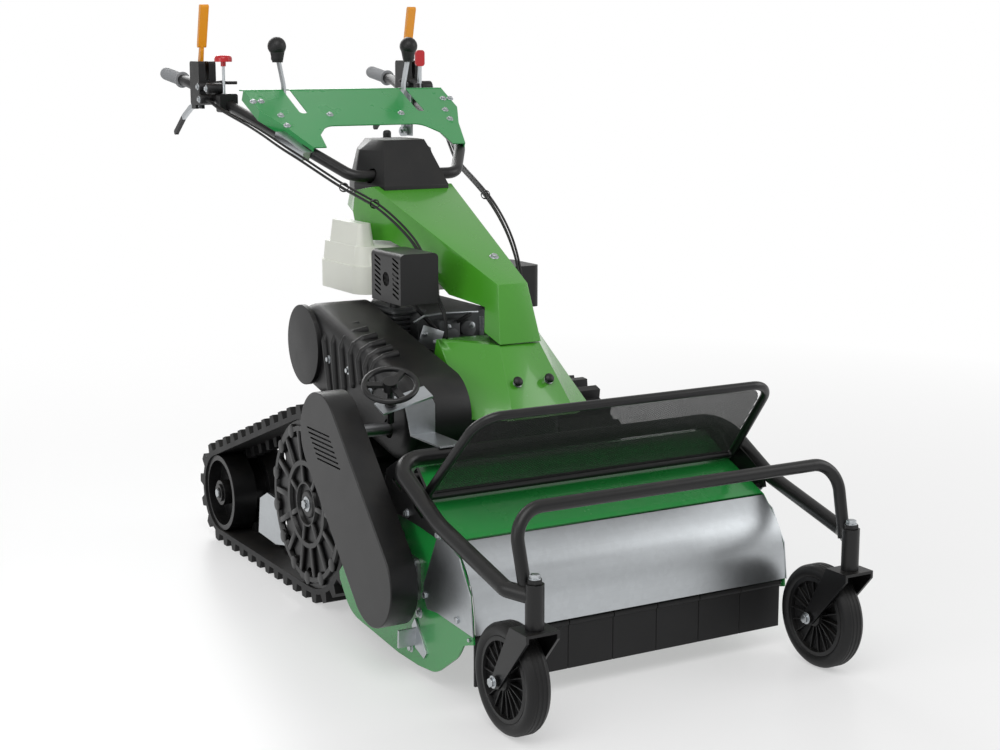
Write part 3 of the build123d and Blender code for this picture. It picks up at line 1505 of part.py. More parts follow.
left_cable = [(-331, 799.7, 1204), (-331, 765, 1204), (-329, 705, 1184), (-322, 630, 1166),
              (-308, 540, 1143), (-297, 450, 1117),
              (-286, 375, 1091), (-266, 300, 1064), (-236, 235, 1030), (-203, 173, 996), (-188, 110, 978),
              (-170, 46, 957), (-148, -30, 915), (-130, -92, 868), (-125, -132, 812), (-122, -166, 762),
              (-117, -200, 720), (-116, -207, 690), (-116, -207, 662.3)]
right_cable = [(331, 799.7, 1204), (331, 770, 1204), (329, 715, 1178), (321, 655, 1144),
               (305, 580, 1106), (283, 505, 1064),
               (262, 434, 1030), (242, 345, 1008), (220, 255, 988), (202, 170, 964), (186, 90, 934),
               (172, 20, 899), (156, -45, 862), (142, -98, 820), (126, -145, 774), (110, -188, 725),
               (104, -207, 692), (104, -207, 662.3)]
with BuildPart() as control_cables:
    for route in (left_cable, right_cable):
        radii = bend_radii(route)
        print("cable bend radii", [round(radius) for radius in radii])
        add(tube(route, radii, cable_d))
save(control_cables.part, "control_cables")

# ---- bolts --------------------------------------------------------------------


def bolt_on(origin, direction, head_r, washer_r):
    """One visible bolt end: a washer and a six-sided head standing on a surface."""
    seat = Plane(origin=origin, z_dir=direction)
    with BuildPart() as bolt:
        with BuildSketch(seat):
            Circle(washer_r)
        extrude(amount=2)
        with BuildSketch(seat.offset(2)):
            RegularPolygon(head_r, 6)
        extrude(amount=6)
    return bolt.part


cover_lean = (0, -156, 118)
with BuildPart() as fasteners:
    for side in (-1, 1):
        add(bolt_on((side * 42, -413.3, 581), cover_lean, 7, 11))
        for step_y in (-36, 36):
            for step_z in (-36, 36):
                add(bolt_on((side * (deck_out + 8), rotor_y + step_y, rotor_z + step_z), (side, 0, 0), 6, 9))
        for place in ((-735, 349), (-590, 362)):
            add(bolt_on((side * (deck_out + 14), *place), (side, 0, 0), 7, 10))
    for place in ((0, 600), (-110, 590), (-230, 560)):
        add(bolt_on((cover_x, *place), (-1, 0, 0), 6, 10))
save(group(fasteners.part, flap_rod.part), "fasteners")
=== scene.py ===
"""The looks of a tracked flail mower that is walked behind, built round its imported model.

Everything is in metres in the model's own frame: +Z is up, the cutting deck faces -Y,
the handlebar reaches back along +Y and the belt guard stands on -X.
"""
import json
import logging
import math
from collections.abc import Callable, Iterable, Sequence
from dataclasses import dataclass
from enum import Enum

import bmesh
import bpy
from mathutils import Matrix, Vector


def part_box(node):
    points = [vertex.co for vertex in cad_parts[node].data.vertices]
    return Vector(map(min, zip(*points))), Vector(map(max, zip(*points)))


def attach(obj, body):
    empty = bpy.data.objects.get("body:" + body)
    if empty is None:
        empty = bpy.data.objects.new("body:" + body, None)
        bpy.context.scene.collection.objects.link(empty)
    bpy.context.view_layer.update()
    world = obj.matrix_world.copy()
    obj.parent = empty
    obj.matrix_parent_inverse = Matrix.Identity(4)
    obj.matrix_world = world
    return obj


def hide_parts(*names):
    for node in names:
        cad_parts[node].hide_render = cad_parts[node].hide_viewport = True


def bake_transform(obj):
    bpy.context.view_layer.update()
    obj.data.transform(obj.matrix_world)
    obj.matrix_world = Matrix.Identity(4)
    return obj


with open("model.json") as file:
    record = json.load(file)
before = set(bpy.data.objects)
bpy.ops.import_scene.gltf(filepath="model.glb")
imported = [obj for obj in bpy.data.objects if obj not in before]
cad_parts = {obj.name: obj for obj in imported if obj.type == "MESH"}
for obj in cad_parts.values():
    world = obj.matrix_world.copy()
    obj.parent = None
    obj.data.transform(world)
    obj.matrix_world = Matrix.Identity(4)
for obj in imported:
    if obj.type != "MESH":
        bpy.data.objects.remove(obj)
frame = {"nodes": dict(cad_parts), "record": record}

logging.basicConfig(level=logging.INFO, format="%(name)s: %(message)s")
log = logging.getLogger("mower")

Point = tuple[float, float, float]
Colour = tuple[int, int, int]
MM = 0.001
X_AXIS = Vector((1, 0, 0))
Y_AXIS = Vector((0, 1, 0))
Z_AXIS = Vector((0, 0, 1))
SIDES = {"left": -1, "right": 1}


def linear(colour: Colour) -> tuple[float, float, float, float]:
    """Turns a screen colour into the linear colour that a shader takes.

    Args:
        colour: Red, green and blue from 0 to 255, as a screen shows them.

    Returns:
        The linear colour with an alpha of 1.
    """
    shares = [channel / 255 for channel in colour]
    return (*[s / 12.92 if s <= 0.04045 else ((s + 0.055) / 1.055) ** 2.4 for s in shares], 1.0)


# ---- shader groups ------------------------------------------------------------


class Graph:
    """Adds shader nodes to one node tree and links them."""

    def __init__(self, tree: bpy.types.NodeTree) -> None:
        """Keeps the tree that the nodes go into.

        Args:
            tree: A material's or a group's node tree.
        """
        self.tree = tree

    def add(self, kind: str, inputs: dict | None = None, **settings: object) -> bpy.types.Node:
        """Adds one node.

        Args:
            kind: The node's type name, without its ShaderNode prefix.
            inputs: Socket name or number to a value, or to the output socket that feeds it.
            settings: The node's own properties.

        Returns:
            The new node.
        """
        node = self.tree.nodes.new("ShaderNode" + kind)
        for name, value in settings.items():
            setattr(node, name, value)
        for key, value in (inputs or {}).items():
            if isinstance(value, bpy.types.NodeSocket):
                self.tree.links.new(value, node.inputs[key])
            else:
                node.inputs[key].default_value = value
        return node

    def math(self, operation: str, *values: object, clamp: bool = False) -> bpy.types.NodeSocket:
        """Adds a Math node and returns its output.

        Args:
            operation: The Math node's operation.
            values: Its inputs in order, numbers or sockets.
            clamp: Whether the result is held between 0 and 1.

        Returns:
            The node's output socket.
        """
        return self.add("Math", dict(enumerate(values)), operation=operation, use_clamp=clamp).outputs[0]

    def place(self) -> bpy.types.NodeSocket:
        """The object's own coordinates."""
        return self.add("TexCoord").outputs["Object"]

    def noise(self, scale: object, detail: float) -> bpy.types.NodeSocket:
        """Adds a Noise Texture on the object's own coordinates.

        Args:
            scale: Its scale, a number or a socket.
            detail: How many finer layers it has.

        Returns:
            Its value.
        """
        return self.add("TexNoise", {"Vector": self.place(), "Scale": scale, "Detail": detail}).outputs[0]


class Effects:
    """The shader groups that several finishes share, each built once."""

    def __init__(self) -> None:
        """Builds every group."""
        self.relief = self._relief()
        self.drift = self._drift()
        self.wear = self._wear()
        self.spangle = self._spangle()
        self.dust = self._dust()

    @staticmethod
    def _group(name: str, inputs: dict[str, float | tuple], outputs: dict[str, str]) -> tuple:
        """Starts a group with its sockets.

        Args:
            name: The group's name.
            inputs: Input names and their default values.
            outputs: Output names and their socket types.

        Returns:
            The group's tree, its graph, its input node's outputs and its output node.
        """
        tree = bpy.data.node_groups.new(name, "ShaderNodeTree")
        for key, value in inputs.items():
            kind = "NodeSocketColor" if isinstance(value, tuple) else "NodeSocketFloat"
            tree.interface.new_socket(key, in_out="INPUT", socket_type=kind).default_value = value
        for key, kind in outputs.items():
            tree.interface.new_socket(key, in_out="OUTPUT", socket_type=kind)
        graph = Graph(tree)
        entry = tree.nodes.new("NodeGroupInput")
        leave = tree.nodes.new("NodeGroupOutput")
        return tree, graph, entry.outputs, leave

    def _relief(self) -> bpy.types.NodeTree:
        """Builds the fine surface relief with its softened edges."""
        tree, graph, given, leave = self._group(
            "SurfaceRelief",
            {"Scale": 400.0, "Depth": 0.0001, "Coarse Share": 0.2, "Edge Radius": 0.001},
            {"Normal": "NodeSocketVector"},
        )
        fine = graph.noise(given["Scale"], 3.0)
        coarse = graph.noise(graph.math("MULTIPLY", given["Scale"], 0.06), 2.0)
        height = graph.add("Mix", {0: given["Coarse Share"], 2: fine, 3: coarse}).outputs[0]
        edge = graph.add("Bevel", {"Radius": given["Edge Radius"]}, samples=4).outputs[0]
        bump = graph.add("Bump", {"Height": height, "Distance": given["Depth"], "Normal": edge,
                                  "Strength": 1.0})
        tree.links.new(bump.outputs[0], leave.inputs["Normal"])
        return tree

    def _drift(self) -> bpy.types.NodeTree:
        """Builds the slow drift of a colour's depth over a surface."""
        tree, graph, given, leave = self._group(
            "ToneDrift",
            {"Colour": (0.5, 0.5, 0.5, 1.0), "Scale": 6.0, "Amount": 0.1},
            {"Colour": "NodeSocketColor"},
        )
        noise = graph.noise(given["Scale"], 4.0)
        swing = graph.math("MULTIPLY", graph.math("SUBTRACT", noise, 0.5), given["Amount"])
        value = graph.math("ADD", 1.0, swing)
        tone = graph.add("HueSaturation", {"Color": given["Colour"], "Value": value})
        tree.links.new(tone.outputs[0], leave.inputs["Colour"])
        return tree

    def _wear(self) -> bpy.types.NodeTree:
        """Builds the mask of worn and rubbed edges."""
        tree, graph, given, leave = self._group(
            "EdgeWear",
            {"Radius": 0.0015, "Amount": 0.5, "Breakup": 60.0},
            {"Mask": "NodeSocketFloat"},
        )
        soft = graph.add("Bevel", {"Radius": given["Radius"]}, samples=4).outputs[0]
        true = graph.add("NewGeometry").outputs["Normal"]
        agree = graph.add("VectorMath", {0: soft, 1: true}, operation="DOT_PRODUCT").outputs["Value"]
        edge = graph.math("MULTIPLY", graph.math("SUBTRACT", 1.0, agree), 5.0, clamp=True)
        noise = graph.noise(given["Breakup"], 4.0)
        gaps = graph.add("MapRange", {0: noise, 1: 0.42, 2: 0.62}).outputs[0]
        mask = graph.math("MULTIPLY", graph.math("MULTIPLY", edge, gaps), given["Amount"], clamp=True)
        tree.links.new(mask, leave.inputs["Mask"])
        return tree

    def _spangle(self) -> bpy.types.NodeTree:
        """Builds the crystal tones of a zinc coat, drawn out along the rolled sheet."""
        tree, graph, given, leave = self._group(
            "ZincSpangle",
            {"Scale": 90.0, "Contrast": 0.2, "Streak": 0.3},
            {"Tone": "NodeSocketFloat"},
        )
        place = graph.place()
        cells = graph.add("TexVoronoi", {"Vector": place, "Scale": given["Scale"]}).outputs["Color"]
        grey = graph.add("RGBToBW", {0: cells}).outputs[0]
        stretched = graph.add("Mapping", {0: place, "Scale": (3.0, 90.0, 90.0)}).outputs[0]
        rolled = graph.add("TexNoise", {"Vector": stretched, "Scale": 3.0, "Detail": 3.0}).outputs[0]
        crystals = graph.math("MULTIPLY", graph.math("SUBTRACT", grey, 0.5), given["Contrast"])
        lines = graph.math("MULTIPLY", graph.math("SUBTRACT", rolled, 0.5), given["Streak"])
        tree.links.new(graph.math("ADD", 1.0, graph.math("ADD", crystals, lines)), leave.inputs["Tone"])
        return tree

    def _dust(self) -> bpy.types.NodeTree:
        """Builds the mask of fine dust that settles on faces that look up."""
        tree, graph, given, leave = self._group(
            "SettledDust",
            {"Amount": 0.1, "Scale": 25.0},
            {"Mask": "NodeSocketFloat"},
        )
        normal = graph.add("NewGeometry").outputs["Normal"]
        up = graph.add("SeparateXYZ", {0: normal}).outputs[2]
        facing = graph.add("MapRange", {0: up, 1: 0.2, 2: 1.0}).outputs[0]
        noise = graph.noise(given["Scale"], 5.0)
        patches = graph.add("MapRange", {0: noise, 1: 0.35, 2: 0.75}).outputs[0]
        mask = graph.math("MULTIPLY", graph.math("MULTIPLY", facing, patches), given["Amount"], clamp=True)
        tree.links.new(mask, leave.inputs["Mask"])
        return tree


# ---- finishes -----------------------------------------------------------------


DUST = (150, 140, 122)


class Texture(Enum):
    """The relief of a surface: scale per metre, depth in metres and share of its coarse waves."""

    GLOSS_COAT = (260.0, 0.00006, 0.5)
    SATIN_COAT = (1100.0, 0.00010, 0.1)
    MOULDED = (1500.0, 0.00016, 0.05)
    SMOOTH = (300.0, 0.00003, 0.4)
    ROLLED = (220.0, 0.00006, 0.6)
    CAST = (650.0, 0.00045, 0.2)
    RUBBER = (700.0, 0.00025, 0.3)


@dataclass(frozen=True)
class Finish:
    """One surface finish and the material that shows it.

    Attributes:
        slot: The record's material slot.
        colour: The colour under plain light, 0 to 255 a channel.
        texture: The surface's fine relief.
        roughness: How matt the surface is.
        metallic: 1 for bare metal, otherwise 0.
        coat: Share of clear lacquer over the colour.
        drift: How far the tone wanders over the surface.
        wear: Share of edges rubbed to the worn colour.
        worn: The colour of a rubbed edge.
        dust: Share of dust on faces that look up.
        spangle: Contrast of zinc crystals.
        streak: Contrast of rolling lines.
        edge: How far corners look softened, in metres.
        translucent: Share of light that passes under the surface.
        shine: How strongly the surface mirrors its surroundings; 0.5 is plain plastic.
    """

    slot: str
    colour: Colour
    texture: Texture
    roughness: float
    metallic: float = 0.0
    coat: float = 0.0
    drift: float = 0.08
    wear: float = 0.0
    worn: Colour = (150, 152, 155)
    dust: float = 0.03
    spangle: float = 0.0
    streak: float = 0.0
    edge: float = 0.0012
    translucent: float = 0.0
    shine: float = 0.5

    def build(self, effects: Effects) -> bpy.types.Material:
        """Makes the material.

        Args:
            effects: The shared shader groups.

        Returns:
            The material, named after its slot.
        """
        material = bpy.data.materials.new(self.slot)
        material.use_nodes = True
        graph = Graph(material.node_tree)
        shader = material.node_tree.nodes["Principled BSDF"]
        scale, depth, coarse = self.texture.value
        tone = self._place(graph, effects.drift, {"Colour": linear(self.colour), "Amount": self.drift})
        base = tone.outputs["Colour"]
        if self.spangle or self.streak:
            zinc = self._place(graph, effects.spangle, {"Contrast": self.spangle, "Streak": self.streak})
            base = graph.add("HueSaturation", {"Color": base, "Value": zinc.outputs["Tone"]}).outputs[0]
        rough = graph.add("MapRange", {0: graph.noise(14.0, 4.0), 3: self.roughness * 0.85,
                                       4: self.roughness * 1.15}).outputs[0]
        if self.wear:
            mask = self._place(graph, effects.wear, {"Amount": self.wear}).outputs["Mask"]
            base = graph.add("Mix", {0: mask, 6: base, 7: linear(self.worn)}, data_type="RGBA").outputs[2]
        if self.dust:
            mask = self._place(graph, effects.dust, {"Amount": self.dust}).outputs["Mask"]
            base = graph.add("Mix", {0: mask, 6: base, 7: linear(DUST)}, data_type="RGBA").outputs[2]
            rough = graph.math("ADD", rough, graph.math("MULTIPLY", mask, 0.5), clamp=True)
        normal = self._place(graph, effects.relief, {"Scale": scale, "Depth": depth, "Coarse Share": coarse,
                                                     "Edge Radius": self.edge}).outputs["Normal"]
        links = material.node_tree.links
        links.new(base, shader.inputs["Base Color"])
        links.new(rough, shader.inputs["Roughness"])
        links.new(normal, shader.inputs["Normal"])
        shader.inputs["Metallic"].default_value = self.metallic
        shader.inputs["Coat Weight"].default_value = self.coat
        shader.inputs["Coat Roughness"].default_value = 0.06
        shader.inputs["Specular IOR Level"].default_value = self.shine
        shader.inputs["Subsurface Weight"].default_value = self.translucent
        shader.inputs["Subsurface Radius"].default_value = (0.02, 0.02, 0.018)
        return material

    @staticmethod
    def _place(graph: Graph, tree: bpy.types.NodeTree, inputs: dict) -> bpy.types.Node:
        """Adds a shared group's node first, so that its sockets exist, and then its values."""
        node = graph.add("Group", node_tree=tree)
        for key, value in inputs.items():
            node.inputs[key].default_value = value
        return node


FINISHES = {
    finish.slot: finish
    for finish in (
        Finish("deck_green", (32, 142, 62), Texture.GLOSS_COAT, 0.26, coat=0.35, wear=0.06),
        Finish("cowl_green", (70, 152, 38), Texture.GLOSS_COAT, 0.26, coat=0.4, wear=0.05),
        Finish("console_green", (36, 146, 72), Texture.GLOSS_COAT, 0.28, coat=0.3, wear=0.06),
        Finish("black_paint", (15, 15, 16), Texture.SATIN_COAT, 0.34, wear=0.10, worn=(48, 49, 50),
               shine=0.40),
        Finish("black_plastic", (17, 17, 18), Texture.MOULDED, 0.42, wear=0.05, worn=(50, 50, 52),
               shine=0.38),
        Finish("galvanised", (186, 190, 193), Texture.ROLLED, 0.34, metallic=1.0, spangle=0.07, streak=0.08),
        Finish("bare_steel", (150, 151, 153), Texture.ROLLED, 0.34, metallic=1.0, streak=0.3, wear=0.3,
               worn=(205, 205, 207)),
        Finish("cast_metal", (92, 94, 95), Texture.CAST, 0.50, metallic=0.85, wear=0.2, worn=(170, 170, 172)),
        Finish("track_rubber", (17, 17, 18), Texture.RUBBER, 0.52, dust=0.05, wear=0.15, worn=(44, 43, 42),
               shine=0.35),
        Finish("caster_tyre", (16, 16, 17), Texture.RUBBER, 0.48, dust=0.03, shine=0.35),
        Finish("tank_white", (226, 228, 218), Texture.MOULDED, 0.36, translucent=0.2, dust=0.03),
        Finish("grip_grey", (140, 142, 145), Texture.RUBBER, 0.60, dust=0.0),
        Finish("lever_yellow", (232, 150, 18), Texture.SMOOTH, 0.32, coat=0.2, dust=0.0),
        Finish("control_red", (190, 16, 28), Texture.SMOOTH, 0.28, coat=0.3, dust=0.0),
    )
}


class Palette:
    """Every finish's material, made once."""

    def __init__(self) -> None:
        """Builds the shared groups and then the materials."""
        effects = Effects()
        self.materials = {slot: finish.build(effects) for slot, finish in FINISHES.items()}

    def __getitem__(self, slot: str) -> bpy.types.Material:
        """The material of one slot."""
        return self.materials[slot]


# ---- mesh shaping -------------------------------------------------------------


def stand(origin: Iterable[float], axis: Vector, roll: Vector = X_AXIS) -> Matrix:
    """The place of a shape whose own Z runs along an axis.

    Args:
        origin: Where the shape's own origin goes.
        axis: Where the shape's own Z points.
        roll: The direction that the shape's own X leans towards.

    Returns:
        The matrix from the shape's own frame to the model's.
    """
    z_way = axis.normalized()
    if abs(z_way.dot(roll.normalized())) > 0.999:
        roll = Y_AXIS if abs(z_way.dot(Y_AXIS)) < 0.9 else Z_AXIS
    y_way = z_way.cross(roll).normalized()
    x_way = y_way.cross(z_way)
    turn = Matrix((x_way, y_way, z_way)).transposed().to_4x4()
    return Matrix.Translation(Vector(origin)) @ turn


class Shape:
    """A mesh in the making, shaped with bmesh operators in the model's frame."""

    def __init__(self) -> None:
        """Starts with an empty mesh."""
        self.mesh = bmesh.new()

    def _soften(self, verts: list, width: float, segments: int, angle: float = 30.0) -> None:
        """Bevels the sharp edges among some vertices.

        Args:
            verts: The vertices of the new shape.
            width: The bevel's width.
            segments: The bevel's segments.
            angle: Edges sharper than this, in degrees, are beveled.
        """
        edges = {edge for vert in verts for edge in vert.link_edges}
        sharp = [e for e in edges if e.is_manifold and e.calc_face_angle() > math.radians(angle)]
        bmesh.ops.bevel(self.mesh, geom=sharp, offset=width, affect="EDGES", segments=segments, profile=0.5,
                        material=-1, clamp_overlap=True)

    def block(self, centre: Iterable[float], size: Iterable[float], turn: Matrix | None = None,
              soft: float = 0.001, segments: int = 2) -> None:
        """Adds a block with softened edges.

        Args:
            centre: Its middle.
            size: Its three lengths before it is turned.
            turn: A rotation about its middle.
            soft: The width of its edges' bevel.
            segments: The segments of that bevel.
        """
        turned = (turn or Matrix()).to_4x4()
        place = Matrix.Translation(Vector(centre)) @ turned @ Matrix.Diagonal((*size, 1))
        made = bmesh.ops.create_cube(self.mesh, size=1.0, matrix=place)
        if soft:
            self._soften(made["verts"], soft, segments)

    def rod(self, start: Iterable[float], end: Iterable[float], radius: float,
            far_radius: float | None = None, sides: int = 20, soft: float = 0.0) -> None:
        """Adds a round or many-sided rod between two points.

        Args:
            start: The middle of its first end.
            end: The middle of its other end.
            radius: Its radius at the first end.
            far_radius: Its radius at the other end, or the same.
            sides: How many sides it has.
            soft: The width of its rims' bevel.
        """
        low, high = Vector(start), Vector(end)
        run = high - low
        place = stand((low + high) / 2, run)
        far = radius if far_radius is None else far_radius
        made = bmesh.ops.create_cone(self.mesh, cap_ends=True, cap_tris=False, segments=sides,
                                     radius1=radius, radius2=far, depth=run.length, matrix=place)
        if soft:
            self._soften(made["verts"], soft, 2, 50.0)

    def chain(self, route: Iterable[Iterable[float]], radius: float, sides: int = 20, balls: int = 0) -> None:
        """Adds rods end to end along a route.

        Args:
            route: The points that the rods join.
            radius: Their radius.
            sides: How many sides each has.
            balls: The rows of faces of the ball at each rod's far end, or none.
        """
        points = [Vector(point) for point in route]
        for start, end in zip(points, points[1:]):
            self.rod(start, end, radius, sides=sides)
        if balls:
            for end in points[1:]:
                bmesh.ops.create_uvsphere(self.mesh, u_segments=sides, v_segments=balls, radius=radius,
                                          matrix=Matrix.Translation(end))

    def turned(self, profile: Sequence[tuple[float, float]], place: Matrix, steps: int = 64) -> None:
        """Adds a shape turned on a lathe.

        Args:
            profile: Radius and height points along its own Z, closed at the axis or back on itself.
            place: Where its own frame goes.
            steps: How many steps make the whole turn.
        """
        verts = [self.mesh.verts.new((radius, 0, height)) for radius, height in profile]
        edges = [self.mesh.edges.new(pair) for pair in zip(verts, verts[1:])]
        if profile[0][0] > 1e-6 and profile[-1][0] > 1e-6:
            edges.append(self.mesh.edges.new((verts[-1], verts[0])))
        before = set(self.mesh.verts) - set(verts)
        bmesh.ops.spin(self.mesh, geom=verts + edges, cent=(0, 0, 0), axis=(0, 0, 1), angle=math.tau,
                       steps=steps, use_merge=True)
        made = [vert for vert in self.mesh.verts if vert not in before]
        bmesh.ops.remove_doubles(self.mesh, verts=made, dist=1e-6)
        made = [vert for vert in self.mesh.verts if vert.is_valid and vert not in before]
        bmesh.ops.transform(self.mesh, matrix=place, verts=made)

    def bolt(self, seat: Iterable[float], outward: Vector, head: float = 0.006,
             washer: float = 0.010) -> None:
        """Adds a six-sided bolt head on its washer.

        Args:
            seat: A point on the surface that it holds.
            outward: The direction that the head stands in.
            head: The head's radius over its corners.
            washer: The washer's radius.
        """
        way = outward.normalized()
        base = Vector(seat)
        self.rod(base - way * 0.0005, base + way * 0.0018, washer, sides=28, soft=0.0004)
        self.rod(base + way * 0.0018, base + way * (0.0018 + head * 0.7), head, sides=6, soft=0.0006)

    def dome(self, seat: Iterable[float], outward: Vector, radius: float = 0.009,
             height: float = 0.004) -> None:
        """Adds a low round head, such as a carriage bolt's or a rivet's.

        Args:
            seat: A point on the surface that it holds.
            outward: The direction that the head stands in.
            radius: The head's radius.
            height: How far its crown stands out.
        """
        steps = 5
        rise = [(radius * math.cos(math.pi / 2 * k / steps), height * math.sin(math.pi / 2 * k / steps))
                for k in range(steps)]
        self.turned([(0, -0.0005), (radius, -0.0005), *rise, (0, height)], stand(seat, outward), 24)

    def done(self, name: str, body: str | None, slot: str, palette: Palette, sharp: float = 35.0,
             replaces: Sequence[str] = ()) -> bpy.types.Object:
        """Makes the finished piece.

        Args:
            name: The piece's name.
            body: The body that it moves with, or None to leave it on no body.
            slot: Its material slot.
            palette: The materials.
            sharp: Edges sharper than this, in degrees, stay crisp.
            replaces: The model's nodes that it stands for.

        Returns:
            The new object.
        """
        bmesh.ops.recalc_face_normals(self.mesh, faces=self.mesh.faces)
        data = bpy.data.meshes.new(name)
        self.mesh.to_mesh(data)
        self.mesh.free()
        piece = bpy.data.objects.new(name, data)
        bpy.context.scene.collection.objects.link(piece)
        data.materials.append(palette[slot])
        data.shade_smooth()
        data.set_sharp_from_angle(angle=math.radians(sharp))
        if body:
            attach(piece, body)
        if replaces:
            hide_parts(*replaces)
        log.info("%s: %d faces on %s", name, len(data.polygons), body)
        return piece


def paint_part(node: str, slot: str, palette: Palette, wanted: Callable[[Vector], bool]) -> None:
    """Gives the faces of one model node that pass a test a second finish.

    Args:
        node: The node's name.
        slot: The second finish's slot.
        palette: The materials.
        wanted: Says whether a face with this middle takes the second finish.
    """
    data = frame["nodes"][node].data
    data.materials.append(palette[slot])
    second = len(data.materials) - 1
    for face in data.polygons:
        if wanted(face.center):
            face.material_index = second


def bolt_group(name: str, body: str, bolts: Iterable[tuple], palette: Palette) -> None:
    """Sets a group of zinc-coated bolts as one piece.

    Args:
        name: The piece's name.
        body: The body that it moves with.
        bolts: For each bolt its seat, the way it faces, its head's radius and its washer's.
        palette: The materials.
    """
    group = Shape()
    for seat, way, head, washer in bolts:
        group.bolt(seat, way, head, washer)
    group.done(name, body, "galvanised", palette)


# ---- sub-assemblies -----------------------------------------------------------


@dataclass
class SoftShell:
    """A sheet or moulded cover with the round crests that a press or a mould leaves.

    Attributes:
        palette: The materials.
        node: The model's node that it stands for.
        slot: Its material slot.
        crest: The radius of its crests in metres.
        least: Faces narrower than this, such as a sheet's rim, keep their edges.
        angle: Crests sharper than this, in degrees, are rounded.
        merge: Vertices nearer than this are one.
        flat: Faces that turn less than this are one.
    """

    palette: Palette
    node: str
    slot: str
    crest: float = 0.008
    least: float = 0.006
    angle: float = 14.0
    merge: float = 1e-5
    flat: float = math.radians(1.5)

    def build(self) -> None:
        """Merges a copy of the node's mesh and rounds its outer crests."""
        shape = Shape()
        source = frame["nodes"][self.node]
        shape.mesh.from_mesh(source.data)
        shape.mesh.transform(source.matrix_world)
        bmesh.ops.remove_doubles(shape.mesh, verts=shape.mesh.verts, dist=self.merge)
        bmesh.ops.dissolve_limit(shape.mesh, angle_limit=self.flat, verts=shape.mesh.verts,
                                 edges=shape.mesh.edges)
        crests = [edge for edge in shape.mesh.edges if self._is_crest(edge)]
        bmesh.ops.bevel(shape.mesh, geom=crests, offset=self.crest, affect="EDGES", segments=4,
                        profile=0.5, material=-1, clamp_overlap=True)
        bodies = frame["record"]["behaviour"]["bodies"]
        body = next(name for name, nodes in bodies.items() if self.node in nodes)
        shape.done(f"soft_{self.node}", body, self.slot, self.palette, sharp=32, replaces=[self.node])

    def _is_crest(self, edge: bmesh.types.BMEdge) -> bool:
        """Whether an edge is an outer crest between two broad faces."""
        if not edge.is_manifold or not edge.is_convex:
            return False
        if edge.calc_face_angle() < math.radians(self.angle):
            return False
        widths = [face.calc_area() / max(e.calc_length() for e in face.edges) for face in edge.link_faces]
        return min(widths) > self.least and edge.calc_length() > self.crest


@dataclass
class Dressing:
    """The finishes of the model's own nodes."""

    palette: Palette

    def build(self) -> None:
        """Gives every node its slot's material and the two-tone nodes their second one."""
        for row in frame["record"]["subparts"]:
            data = frame["nodes"][row["node"]].data
            data.materials.clear()
            data.materials.append(self.palette[row["material_slot"]])
        self._zinc_foot("stop_button", 1, -0.031)
        self._zinc_foot("throttle_lever", 0, 0.055)
        self._zinc_foot("lock_lever", 1, -0.039)
        for side in SIDES:
            self._zinc_foot(f"gear_lever_{side}", 1, -0.070)
            self._steering_lever(side)
            self._drive_wheel(side)
        paint_part("track_frames", "galvanised", self.palette,
                   lambda p: 0.3715 < abs(p.x) < 0.3785 and 0.18 < p.y < 0.37 and p.z < 0.21)

    def _zinc_foot(self, node: str, corner: int, reach: float) -> None:
        """Gives the lower part of a lever or a button its zinc coat.

        Args:
            node: The node's name.
            corner: 0 to measure from the low corner of its box, 1 from the high one.
            reach: Where the zinc ends, from that corner.
        """
        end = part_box(node)[corner].z + reach
        paint_part(node, "galvanised", self.palette, lambda p: p.z < end)

    def _steering_lever(self, side: str) -> None:
        """Gives a steering lever's end its dark dip."""
        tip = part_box(f"steering_lever_{side}")[1].y - 0.060
        paint_part(f"steering_lever_{side}", "black_plastic", self.palette, lambda p: p.y > tip)

    def _drive_wheel(self, side: str) -> None:
        """Leaves the end of a drive wheel's axle bright."""
        low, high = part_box(f"drive_wheel_{side}")
        middle = (low + high) / 2
        paint_part(f"drive_wheel_{side}", "bare_steel", self.palette,
                   lambda p: math.hypot(p.y - middle.y, p.z - middle.z) < 0.0205)


